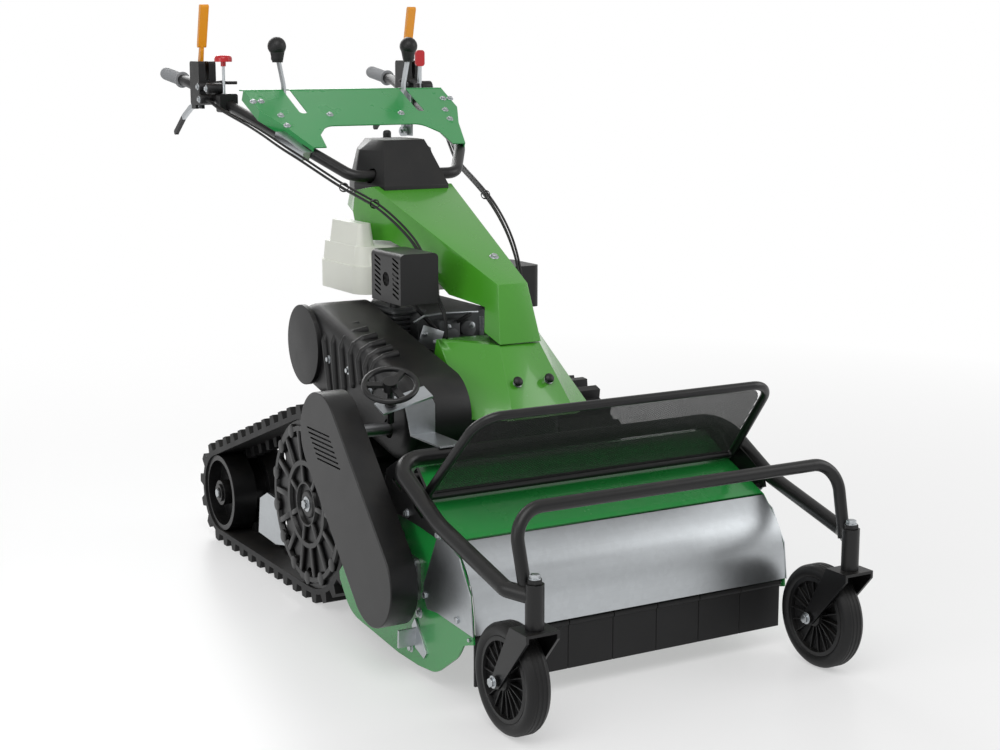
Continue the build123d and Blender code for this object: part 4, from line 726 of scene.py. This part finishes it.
@dataclass
class CasterWheel:
    """One caster wheel: a tyre on a ribbed rim."""

    palette: Palette
    side: str
    rim_radius: float = 0.088
    rib_count: int = 18
    groove: float = 0.0012

    def build(self) -> None:
        """Builds the tyre and the rim."""
        low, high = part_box(f"caster_wheel_{self.side}")
        centre = (low + high) / 2
        radius = (high.z - low.z) / 2
        half = 0.026
        place = stand(centre, X_AXIS, Y_AXIS)
        rim, groove = self.rim_radius, self.groove
        tyre = Shape()
        shoulder = [(rim, -half + 0.005), (rim + 0.004, -half + 0.0015), (radius - 0.014, -half),
                    (radius - 0.007, -half + 0.002), (radius - 0.0025, -half + 0.007)]
        tread = []
        for middle in (-0.010, 0.0, 0.010):
            tread += [(radius, middle - 0.0030), (radius - groove, middle - 0.0020),
                      (radius - groove, middle + 0.0020), (radius, middle + 0.0030)]
        tyre.turned([*shoulder, *tread, *[(r, -h) for r, h in reversed(shoulder)]], place, 96)
        tyre.done(f"caster_tyre_{self.side}", f"caster_wheel_{self.side}", "caster_tyre", self.palette,
                  replaces=[f"caster_wheel_{self.side}"])
        rim_piece = Shape()
        rim_piece.turned([(rim, -half + 0.004), (rim - 0.009, -half + 0.003), (rim - 0.011, -half + 0.014),
                          (0.024, -half + 0.019), (0.021, -half + 0.001), (0.015, -half - 0.0045),
                          (0.0065, -half - 0.0045), (0.0065, half + 0.0045), (0.015, half + 0.0045),
                          (0.021, half - 0.001), (0.024, half - 0.019), (rim - 0.011, half - 0.014),
                          (rim - 0.009, half - 0.003), (rim, half - 0.004)], place, 72)
        for k in range(self.rib_count):
            turn = Matrix.Rotation(math.tau * k / self.rib_count, 4, "X")
            middle = centre + turn @ Vector((0, (rim + 0.012) / 2, 0))
            rim_piece.block(middle, (2 * half - 0.014, rim - 0.028, 0.0028), turn, soft=0.0006, segments=1)
        rim_piece.done(f"caster_rim_{self.side}", f"caster_wheel_{self.side}", "black_plastic", self.palette)


@dataclass
class ScreenMesh:
    """The wire mesh of the debris screen, woven inside its tube frame."""

    palette: Palette
    pitch: float = 0.0037
    wire: float = 0.0008
    corner: float = 0.050

    def build(self) -> None:
        """Lays the wires along and across the screen's slope."""
        low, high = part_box("screen_mesh")
        foot = Vector((0, high.y, low.z))
        slope = Vector((0, low.y - high.y, high.z - low.z))
        length = slope.length
        up = slope.normalized()
        out = up.cross(X_AXIS).normalized()
        half_low = high.x
        half_high = 0.358
        mesh = Shape()

        def half_at(v: float) -> float:
            """Half the screen's width at a distance up its slope."""
            half = half_low + (half_high - half_low) * v / length
            over = v - (length - self.corner)
            if over <= 0:
                return half
            return half - self.corner + math.sqrt(max(self.corner ** 2 - over ** 2, 0))

        rows = int(length / self.pitch)
        for k in range(1, rows):
            v = length * k / rows
            base = foot + up * v + out * self.wire * 0.7
            mesh.rod(base - X_AXIS * half_at(v), base + X_AXIS * half_at(v), self.wire, sides=4)
        columns = int(2 * half_low / self.pitch)
        for k in range(1, columns):
            x = -half_low + 2 * half_low * k / columns
            top = length
            while top > 0 and half_at(top) < abs(x):
                top -= self.pitch / 2
            if top > self.pitch:
                base = foot + X_AXIS * x - out * self.wire * 0.7
                mesh.rod(base, base + up * top, self.wire, sides=4)
        mesh.done("woven_screen", "chassis", "black_paint", self.palette, replaces=["screen_mesh"])


@dataclass
class Grip:
    """One ribbed hand grip."""

    palette: Palette
    side: str
    elbow: Point = (0.322, 0.932, 1.249)
    tip: Point = (0.330, 1.106, 1.272)
    length: float = 0.125
    radius: float = 0.018
    bore: float = 0.015
    ring_pitch: float = 0.0062

    def build(self) -> None:
        """Turns the grip with its rings, its collar and its closed end."""
        sign = SIDES[self.side]
        tip = Vector((sign * self.tip[0], *self.tip[1:]))
        inward = (Vector((sign * self.elbow[0], *self.elbow[1:])) - tip).normalized()
        rings = []
        valley, pitch = self.radius - 0.0013, self.ring_pitch
        for k in range(int((self.length - 0.018) / pitch)):
            start = 0.006 + k * pitch
            rings += [(valley, start), (self.radius, start + pitch * 0.25),
                      (self.radius, start + pitch * 0.65), (valley, start + pitch * 0.9)]
        end = self.length
        profile = [(0, -0.004), (self.radius * 0.6, -0.004), (self.radius - 0.001, -0.001), *rings,
                   (self.radius - 0.001, end - 0.008), (self.radius + 0.0045, end - 0.005),
                   (self.radius + 0.005, end - 0.002), (self.radius + 0.003, end), (self.bore, end),
                   (self.bore, 0.0), (0, 0.0)]
        grip = Shape()
        grip.turned(profile, stand(tip, inward), 40)
        grip.done(f"ribbed_grip_{self.side}", "handlebar", "grip_grey", self.palette,
                  replaces=["hand_grips"] if self.side == "left" else [])


@dataclass
class Cable:
    """One sheathed control cable from a hand control down to the machine.

    Attributes:
        name: The cable's name.
        points: Its route's points, in millimetres.
        diameter: Its sheath's diameter in metres.
    """

    name: str
    points: Sequence[Point]
    diameter: float = 0.006

    def build(self, palette: Palette, replaces: Sequence[str]) -> None:
        """Makes the cable as a tube along its spline, from the machine up to the handlebar.

        Args:
            palette: The materials.
            replaces: The model's nodes that it stands for.
        """
        line = self._spline()
        route = [Vector(vert.co) for vert in line.vertices]
        data = self._tube(route)
        piece = bpy.data.objects.new(self.name, data)
        bpy.context.scene.collection.objects.link(piece)
        data.materials.append(palette["track_rubber"])
        data.shade_smooth()
        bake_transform(piece)
        if replaces:
            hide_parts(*replaces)

    def _spline(self) -> bpy.types.Mesh:
        """The route's smooth line as a mesh of points."""
        curve = bpy.data.curves.new(self.name + "_line", "CURVE")
        curve.dimensions = "3D"
        spline = curve.splines.new("NURBS")
        spline.points.add(len(self.points) - 1)
        for point, place in zip(spline.points, self.points):
            point.co = (*[value * MM for value in place], 1.0)
        spline.order_u = 3
        spline.use_endpoint_u = True
        spline.resolution_u = 8
        holder = bpy.data.objects.new(self.name + "_line", curve)
        line = bpy.data.meshes.new_from_object(holder)
        bpy.data.objects.remove(holder)
        return line

    def _tube(self, route: Sequence[Vector]) -> bpy.types.Mesh:
        """A round tube along a line, closed at both ends.

        Args:
            route: The points that it follows.

        Returns:
            The tube's mesh.
        """
        shape = bmesh.new()
        sides = 10
        way = (route[1] - route[0]).normalized()
        across = way.cross(Z_AXIS if abs(way.z) < 0.9 else X_AXIS).normalized()
        rings = []
        for index, point in enumerate(route):
            ahead = route[min(index + 1, len(route) - 1)] - route[max(index - 1, 0)]
            way = ahead.normalized()
            across = (across - way * across.dot(way)).normalized()
            ring = bmesh.ops.create_circle(shape, cap_ends=False, segments=sides, radius=self.diameter / 2,
                                           matrix=stand(point, way, across))["verts"]
            rings.append([edge for edge in {e for vert in ring for e in vert.link_edges}])
        for lower, upper in zip(rings, rings[1:]):
            bmesh.ops.bridge_loops(shape, edges=lower + upper)
        bmesh.ops.holes_fill(shape, edges=rings[0] + rings[-1], sides=sides)
        bmesh.ops.recalc_face_normals(shape, faces=shape.faces)
        data = bpy.data.meshes.new(self.name)
        shape.to_mesh(data)
        shape.free()
        return data


@dataclass
class CoverRibs:
    """The moulded ribs over the transmission cover's shoulder and down its flank.

    Attributes:
        palette: The materials.
        radius: A rib's half width.
        shoulder: How far the cover's shoulder lies in from the centre plane and below each rib's top.
        flank: The flank's x.
        ribs: For each rib, its top's y and z and its lower end's y and z.
    """

    palette: Palette
    radius: float = 0.0095
    shoulder: Sequence[tuple[float, float]] = ((-0.262, -0.004), (-0.296, 0.002), (-0.319, 0.014))
    flank: float = -0.329
    ribs: Sequence[tuple[float, float, float, float]] = (
        (0.024, 0.679, -0.006, 0.520), (-0.026, 0.680, -0.040, 0.530), (-0.074, 0.674, -0.088, 0.545),
        (-0.122, 0.666, -0.135, 0.560), (-0.166, 0.657, -0.178, 0.575), (-0.205, 0.648, -0.215, 0.580),
        (-0.236, 0.640, -0.250, 0.575),
    )

    def build(self) -> None:
        """Lays each rib from the cover's top over its shoulder and down the flank."""
        ribs = Shape()
        for y_top, z_top, y_low, z_low in self.ribs:
            over = [(x, y_top, z_top - drop) for x, drop in (*self.shoulder, (self.flank, 0.036))]
            ribs.chain([*over, (self.flank, y_low, z_low)], self.radius, balls=12)
        ribs.done("cover_ribs", "chassis", "black_plastic", self.palette, sharp=60)


@dataclass
class Hardware:
    """The bolts, nuts and hubs that show on the outside."""

    palette: Palette
    console_seats: Sequence[Point] = (
        (-295, 532, 1205), (-273, 532, 1205), (-247, 462, 1170), (-251, 413, 1146), (-106, 462, 1170),
        (106, 462, 1170), (273, 532, 1205), (295, 532, 1205), (249, 475, 1176), (239, 429, 1153),
    )
    console_up: Point = (0, -0.45, 0.89)
    deck_side: float = 0.4055
    deck_seats: Sequence[tuple[float, float]] = (
        (-0.646, 0.193), (-0.617, 0.144), (-0.573, 0.053), (-0.790, 0.178),
    )
    casting_rings: Sequence[tuple[float, float]] = ((0.178, 0.196), (0.094, 0.112), (0.048, 0.058))
    wheel_ribs: int = 14
    stem: tuple[float, float] = (0.396, -1.08)

    def build(self) -> None:
        """Builds each group of bolts on its own body."""
        bolt_group("console_bolts", "handlebar",
                   [(Vector(seat) * MM, Vector(self.console_up), 0.0065, 0.0095)
                    for seat in self.console_seats],
                   self.palette)
        bolt_group("cowl_bolt", "chassis", [((0.022, -0.193, 0.849), Vector((0, -0.36, 0.93)), 0.008, 0.012)],
                   self.palette)
        domes = Shape()
        for x in (-0.044, 0.041):
            domes.dome((x, -0.4205, 0.5875), Vector((0, -0.8, 0.6)), radius=0.012, height=0.007)
        domes.done("cover_domes", "chassis", "black_plastic", self.palette)
        bolt_group("deck_bolts", "chassis",
                   [((sign * self.deck_side, y, z), Vector((sign, 0, 0)), 0.008, 0.011)
                    for sign in SIDES.values() for y, z in self.deck_seats], self.palette)
        for side, sign in SIDES.items():
            self._caster(side, sign)
            self._hub("drive_wheel", side, sign, 0.034)
            self._hub("idler", side, sign, 0.024)
            self._casting(side, sign)

    def _caster(self, side: str, sign: int) -> None:
        """Sets a caster's axle nuts and the nut on its stem."""
        low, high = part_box(f"caster_fork_{side}")
        wheel_low, wheel_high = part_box(f"caster_wheel_{side}")
        hub = (wheel_low + wheel_high) / 2
        stem_x, stem_y = self.stem
        nuts = [((x, hub.y, hub.z), way, 0.010, 0.013) for x, way in ((low.x, -X_AXIS), (high.x, X_AXIS))]
        nuts.append(((sign * stem_x, stem_y, high.z), Z_AXIS, 0.011, 0.0125))
        bolt_group(f"caster_nuts_{side}", f"caster_{side}", nuts, self.palette)

    @staticmethod
    def _outer_middle(node: str, sign: int) -> Vector:
        """The middle of a wheel's outer face."""
        low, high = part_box(node)
        middle = (low + high) / 2
        return Vector((high.x if sign > 0 else low.x, middle.y, middle.z))

    def _casting(self, side: str, sign: int) -> None:
        """Builds the raised rings and ribs of a drive wheel's casting."""
        centre = self._outer_middle(f"drive_wheel_{side}", sign)
        place = stand(centre, Vector((sign, 0, 0)))
        casting = Shape()
        for inner, outer in self.casting_rings:
            casting.turned([(inner, -0.004), (inner + 0.003, 0.005), (outer - 0.003, 0.005), (outer, -0.004)],
                           place, 96)
        half_step = Matrix.Rotation(math.pi / self.wheel_ribs, 4, "X")
        for k in range(self.wheel_ribs):
            turn = Matrix.Rotation(math.tau * k / self.wheel_ribs, 4, "X")
            spokes = [(0.145, (0.009, 0.074, 0.016))]
            if k % 2:
                spokes.append((0.076, (0.009, 0.044, 0.014)))
            for reach, size in spokes:
                casting.block(centre + turn @ Vector((sign * 0.0005, reach, 0)), size, turn, soft=0.003)
            boss = centre + turn @ half_step @ Vector((0, 0.187, 0))
            casting.rod(boss - X_AXIS * sign * 0.004, boss + X_AXIS * sign * 0.0055, 0.017, sides=24,
                        soft=0.002)
        casting.done(f"drive_casting_{side}", f"drive_wheel_{side}", "black_paint", self.palette)

    def _hub(self, node: str, side: str, sign: int, radius: float) -> None:
        """Sets the hub of a drive wheel or an idler with its bright bolt."""
        way = Vector((sign, 0, 0))
        face = self._outer_middle(f"{node}_{side}", sign)
        hub = Shape()
        hub.turned([(0, -0.020), (radius, -0.020), (radius, -0.002), (radius - 0.003, 0.001), (0, 0.001)],
                   stand(face, way), 48)
        hub.done(f"{node}_hub_{side}", f"{node}_{side}", "black_paint", self.palette)
        bolt_group(f"{node}_nut_{side}", f"{node}_{side}", [(face + way * 0.001, way, 0.012, 0.019)],
                   self.palette)


@dataclass
class EngineDress:
    """The carburettor, linkage, plates and leads in front of the engine block."""

    palette: Palette
    arch: Sequence[Point] = (
        (-0.150, -0.100, 0.690), (-0.120, -0.100, 0.704), (-0.060, -0.092, 0.706), (0.040, -0.080, 0.700),
    )
    hose: Sequence[Point] = (
        (-0.060, -0.075, 0.650), (-0.095, -0.085, 0.680), (-0.125, -0.075, 0.716), (-0.128, -0.050, 0.750),
    )
    lead: Sequence[Point] = (
        (0.075, -0.064, 0.640), (0.084, -0.080, 0.672), (0.070, -0.070, 0.708), (0.040, -0.040, 0.730),
    )
    spring: Point = (0.052, -0.078, 0.640)
    spring_turns: int = 14
    spring_pitch: float = 0.0035

    def build(self) -> None:
        """Builds the bright, the cast and the black pieces."""
        self._bright()
        self._cast()
        self._black()

    def _bright(self) -> None:
        """Builds the governor's rods, the angled plate and the bright screws."""
        bright = Shape()
        bright.chain(self.arch, 0.003, sides=12)
        bright.block((-0.105, -0.104, 0.648), (0.060, 0.003, 0.052), Matrix.Rotation(0.35, 4, "Y"),
                     soft=0.001)
        bright.block((-0.078, -0.088, 0.625), (0.004, 0.036, 0.040), soft=0.001)
        for x, z in ((-0.122, 0.660), (-0.092, 0.636), (-0.045, 0.668), (0.022, 0.668)):
            bright.bolt((x, -0.106 if x < -0.08 else -0.083, z), -Y_AXIS, head=0.005, washer=0.008)
        for k in range(self.spring_turns):
            coil = Vector(self.spring) + Z_AXIS * k * self.spring_pitch
            bright.turned([(0.0052, -0.0008), (0.0066, 0.0), (0.0052, 0.0008)], stand(coil, Z_AXIS), 20)
        bright.done("engine_linkage", "chassis", "galvanised", self.palette)

    def _cast(self) -> None:
        """Builds the carburettor and the cast cover beside it."""
        cast = Shape()
        cast.block((-0.040, -0.068, 0.664), (0.060, 0.030, 0.044), soft=0.005, segments=3)
        cast.rod((-0.040, -0.055, 0.648), (-0.040, -0.098, 0.648), 0.019, sides=28, soft=0.002)
        cast.rod((0.012, -0.055, 0.660), (0.012, -0.084, 0.660), 0.024, 0.021, sides=32, soft=0.002)
        cast.rod((-0.040, -0.068, 0.640), (-0.040, -0.068, 0.612), 0.017, sides=28, soft=0.003)
        cast.done("carburettor", "chassis", "cast_metal", self.palette)

    def _black(self) -> None:
        """Builds the fuel hose, the plug lead and the choke lever."""
        black = Shape()
        black.chain(self.hose, 0.005, sides=14, balls=8)
        black.chain(self.lead, 0.004, sides=14, balls=8)
        black.rod((0.075, -0.055, 0.640), (0.075, -0.092, 0.632), 0.011, 0.008, sides=20, soft=0.002)
        black.block((-0.005, -0.092, 0.690), (0.046, 0.006, 0.010), Matrix.Rotation(-0.4, 4, "Y"),
                    soft=0.002)
        black.done("engine_leads", "chassis", "black_plastic", self.palette)


@dataclass
class HandControls:
    """The pivots, barrels and collars round the hand controls of one side.

    Attributes:
        palette: The materials.
        side: The side that it is on.
        barrels: For each barrel of the clamps, its y, z and radius.
        span: The x of the barrels' inner and outer ends.
        lobes: The x and y of the choke paddle's lobes.
        knob_radius: The radius of the gear lever's knob.
    """

    palette: Palette
    side: str
    barrels: Sequence[Point] = ((0.806, 1.240, 0.014), (0.798, 1.206, 0.014), (0.742, 1.236, 0.015))
    span: tuple[float, float] = (0.300, 0.345)
    lobes: Sequence[tuple[float, float]] = ((0.283, 0.768), (0.270, 0.760), (0.259, 0.756))
    knob_radius: float = 0.025

    def build(self) -> None:
        """Builds the clamps' barrels, the choke paddle and the gear lever's collar."""
        sign = SIDES[self.side]
        inner, outer = self.span
        clamp = Shape()
        for y, z, radius in self.barrels:
            clamp.rod((sign * inner, y, z), (sign * outer, y, z), radius, sides=32, soft=0.003)
        clamp.rod((sign * 0.322, 0.792, 1.245), (sign * 0.286, 0.770, 1.252), 0.007, 0.006, sides=20,
                  soft=0.001)
        for x, y in self.lobes:
            clamp.rod((sign * x, y, 1.2465), (sign * x, y, 1.2555), 0.009, sides=24, soft=0.002)
        clamp.done(f"clamp_barrels_{self.side}", "handlebar", "black_plastic", self.palette)
        ends = ((inner, Vector((-sign, 0, 0))), (outer, Vector((sign, 0, 0))))
        bolt_group(f"clamp_bolts_{self.side}", "handlebar",
                   [((sign * x, y, z), way, 0.006, 0.009) for y, z, _ in self.barrels for x, way in ends],
                   self.palette)
        self._collar(sign)

    def _collar(self, sign: int) -> None:
        """Turns the collar under the gear lever's knob."""
        node = f"gear_lever_{self.side}"
        low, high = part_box(node)
        knob_x = low.x + self.knob_radius if sign < 0 else high.x - self.knob_radius
        tops = [vert.co.y for vert in frame["nodes"][node].data.vertices if vert.co.z > high.z - 0.020]
        neck = (knob_x, (min(tops) + max(tops)) / 2, high.z - 0.054)
        collar = Shape()
        collar.turned([(0.006, -0.012), (0.0125, -0.012), (0.0165, -0.006), (0.0165, 0.004), (0.012, 0.010),
                       (0.006, 0.010)], stand(neck, Z_AXIS), 36)
        collar.done(f"knob_collar_{self.side}", node, "black_plastic", self.palette)


@dataclass
class Studio:
    """The pale room that the mower stands in: floor, lamps and camera."""

    camera_place: Point = (-2.08488, -3.872055, 1.348283)
    yaw: float = -0.5235
    pitch_down: float = math.radians(10.54)
    lens: float = 63.505
    floor_size: float = 30.0

    def build(self) -> None:
        """Builds the camera, the floor, the world and the lamps."""
        self._camera()
        self._floor()
        self._world()
        self._lamp("key", (-1.6, -2.6, 4.2), 3.2, 95)
        self._lamp("fill", (-4.4, -1.0, 2.0), 2.4, 34)
        self._lamp("right", (3.6, -2.2, 2.4), 2.4, 40)
        self._lamp("back", (0.6, 4.6, 3.0), 3.0, 110)
        bpy.context.scene.view_settings.view_transform = "Standard"

    def _camera(self) -> None:
        """Sets the camera at its place."""
        data = bpy.data.cameras.new("camera")
        data.lens = self.lens
        data.sensor_width = 36
        camera = bpy.data.objects.new("camera", data)
        camera.location = self.camera_place
        camera.rotation_euler = (math.pi / 2 - self.pitch_down, 0, self.yaw)
        bpy.context.scene.collection.objects.link(camera)
        bpy.context.scene.camera = camera

    def _floor(self) -> None:
        """Builds the white floor, which keeps the machine's shadow."""
        shape = bmesh.new()
        bmesh.ops.create_grid(shape, x_segments=1, y_segments=1, size=self.floor_size / 2)
        data = bpy.data.meshes.new("floor")
        shape.to_mesh(data)
        shape.free()
        floor = bpy.data.objects.new("floor", data)
        bpy.context.scene.collection.objects.link(floor)
        material = bpy.data.materials.new("floor")
        material.use_nodes = True
        graph = Graph(material.node_tree)
        shader = material.node_tree.nodes["Principled BSDF"]
        shader.inputs["Base Color"].default_value = (0.88, 0.88, 0.88, 1)
        shader.inputs["Roughness"].default_value = 0.35
        glow = graph.add("Emission", {"Color": (1, 1, 1, 1), "Strength": 1.0}).outputs[0]
        rays = graph.add("LightPath").outputs
        seen = graph.math("MAXIMUM", rays["Is Camera Ray"], rays["Is Glossy Ray"])
        away = graph.add("VectorMath", {0: graph.place()}, operation="LENGTH").outputs["Value"]
        fade = graph.add("MapRange", {0: away, 1: 1.2, 2: 4.0, 3: 0.45, 4: 1.0}).outputs[0]
        share = graph.math("MULTIPLY", seen, fade)
        mixed = graph.add("MixShader", {0: share, 1: shader.outputs[0], 2: glow}).outputs[0]
        material.node_tree.links.new(mixed, material.node_tree.nodes["Material Output"].inputs[0])
        data.materials.append(material)

    def _world(self) -> None:
        """Sets a white surround that lights the object softly."""
        world = bpy.data.worlds.new("surround")
        world.use_nodes = True
        bpy.context.scene.world = world
        graph = Graph(world.node_tree)
        rays = graph.add("LightPath").outputs
        seen = graph.math("MAXIMUM", rays["Is Camera Ray"], rays["Is Transmission Ray"])
        shine = graph.math("MULTIPLY", rays["Is Glossy Ray"], 0.45)
        level = graph.add("MapRange", {0: graph.math("MAXIMUM", seen, shine), 3: 0.38, 4: 1.0}).outputs[0]
        background = world.node_tree.nodes["Background"]
        background.inputs["Color"].default_value = (1, 1, 1, 1)
        world.node_tree.links.new(level, background.inputs["Strength"])

    @staticmethod
    def _lamp(name: str, place: Point, size: float, power: float) -> None:
        """Hangs one soft square lamp that looks at the machine's middle.

        Args:
            name: The lamp's name.
            place: Where it hangs.
            size: The length of its side.
            power: Its power in watts.
        """
        data = bpy.data.lights.new(name, "AREA")
        data.shape = "SQUARE"
        data.size = size
        data.energy = power
        lamp = bpy.data.objects.new(name, data)
        lamp.location = place
        aim = Vector((0, -0.1, 0.6)) - Vector(place)
        lamp.rotation_euler = aim.to_track_quat("-Z", "Y").to_euler()
        bpy.context.scene.collection.objects.link(lamp)


LEFT_ROUTE = (
    (-331, 799.7, 1204), (-331, 765, 1204), (-329, 705, 1184), (-322, 630, 1166), (-308, 540, 1143),
    (-297, 450, 1117), (-286, 375, 1091), (-266, 300, 1064), (-236, 235, 1030), (-203, 173, 996),
    (-188, 110, 978), (-170, 46, 957), (-148, -30, 915), (-130, -92, 868), (-125, -132, 812),
    (-122, -166, 762), (-117, -200, 720), (-116, -207, 690), (-116, -207, 662.3),
)
RIGHT_ROUTE = (
    (331, 799.7, 1204), (331, 770, 1204), (329, 715, 1178), (321, 655, 1144), (305, 580, 1106),
    (283, 505, 1064), (262, 434, 1030), (242, 345, 1008), (220, 255, 988), (202, 170, 964),
    (186, 90, 934), (172, 20, 899), (156, -45, 862), (142, -98, 820), (126, -145, 774),
    (110, -188, 725), (104, -207, 692), (104, -207, 662.3),
)
LEFT_SHIFTS = ((0, 0, 0), (-8, 0, 6), (3, 0, 10))
RIGHT_SHIFTS = ((0, 0, 0), (8, 0, 6), (-3, 0, 10))
LEFT_TIES = (((-203, 173, 1001), (-0.3, -0.85, -0.38)), ((-174, 58, 967), (-0.3, -0.88, -0.4)))
RIGHT_TIES = (((200, 163, 967), (-0.25, -0.88, -0.33)),)
SOFT_SHELLS = (("cowl", "cowl_green", 0.010), ("lower_cover", "cowl_green", 0.006),
               ("top_cover", "black_plastic", 0.008), ("fuel_tank", "tank_white", 0.014),
               ("transmission_cover", "black_plastic", 0.006))


def beside(route: Sequence[Point], shift: Point) -> list[Point]:
    """A second cable's points, which leave the first cable's route in between its ends.

    Args:
        route: The first cable's points in millimetres.
        shift: How far the second one lies to its side at the most, in millimetres.

    Returns:
        The second cable's points.
    """
    last = len(route) - 1
    swings = [min(1.0, 3.2 * index / last, 3.2 * (last - index) / last) for index in range(len(route))]
    return [tuple(value + swing * move for value, move in zip(point, shift))
            for point, swing in zip(route, swings)]


@dataclass
class CableTies:
    """The ties that hold one side's cables together."""

    palette: Palette
    side: str
    places: Sequence[tuple[Point, Point]]
    inside: float = 0.0105
    outside: float = 0.0122
    half_width: float = 0.0028

    def build(self) -> None:
        """Lays a flat band round the cables at each place."""
        bands = Shape()
        for centre, way in self.places:
            place = stand([value * MM for value in centre], Vector(way))
            bands.turned([(self.inside, -self.half_width), (self.outside, -self.half_width),
                          (self.outside, self.half_width), (self.inside, self.half_width)], place, 28)
        piece = bands.done(f"cable_ties_{self.side}", None, "black_plastic", self.palette)
        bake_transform(piece)


def main() -> None:
    """Builds the room, the finishes and every added piece."""
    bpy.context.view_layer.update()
    Studio().build()
    palette = Palette()
    Dressing(palette).build()
    for node, slot, crest in SOFT_SHELLS:
        SoftShell(palette, node, slot, crest).build()
    for side in SIDES:
        CasterWheel(palette, side).build()
        Grip(palette, side).build()
        HandControls(palette, side).build()
    ScreenMesh(palette).build()
    CoverRibs(palette).build()
    Hardware(palette).build()
    EngineDress(palette).build()
    for word, route, shifts in (("left", LEFT_ROUTE, LEFT_SHIFTS), ("right", RIGHT_ROUTE, RIGHT_SHIFTS)):
        for number, shift in enumerate(shifts):
            stands_for = ["control_cables"] if word == "left" and number == 0 else []
            Cable(f"control_cable_{word}_{number + 1}", beside(route, shift)).build(palette, stands_for)
    CableTies(palette, "left", LEFT_TIES).build()
    CableTies(palette, "right", RIGHT_TIES).build()


if __name__ == "__main__":
    main()
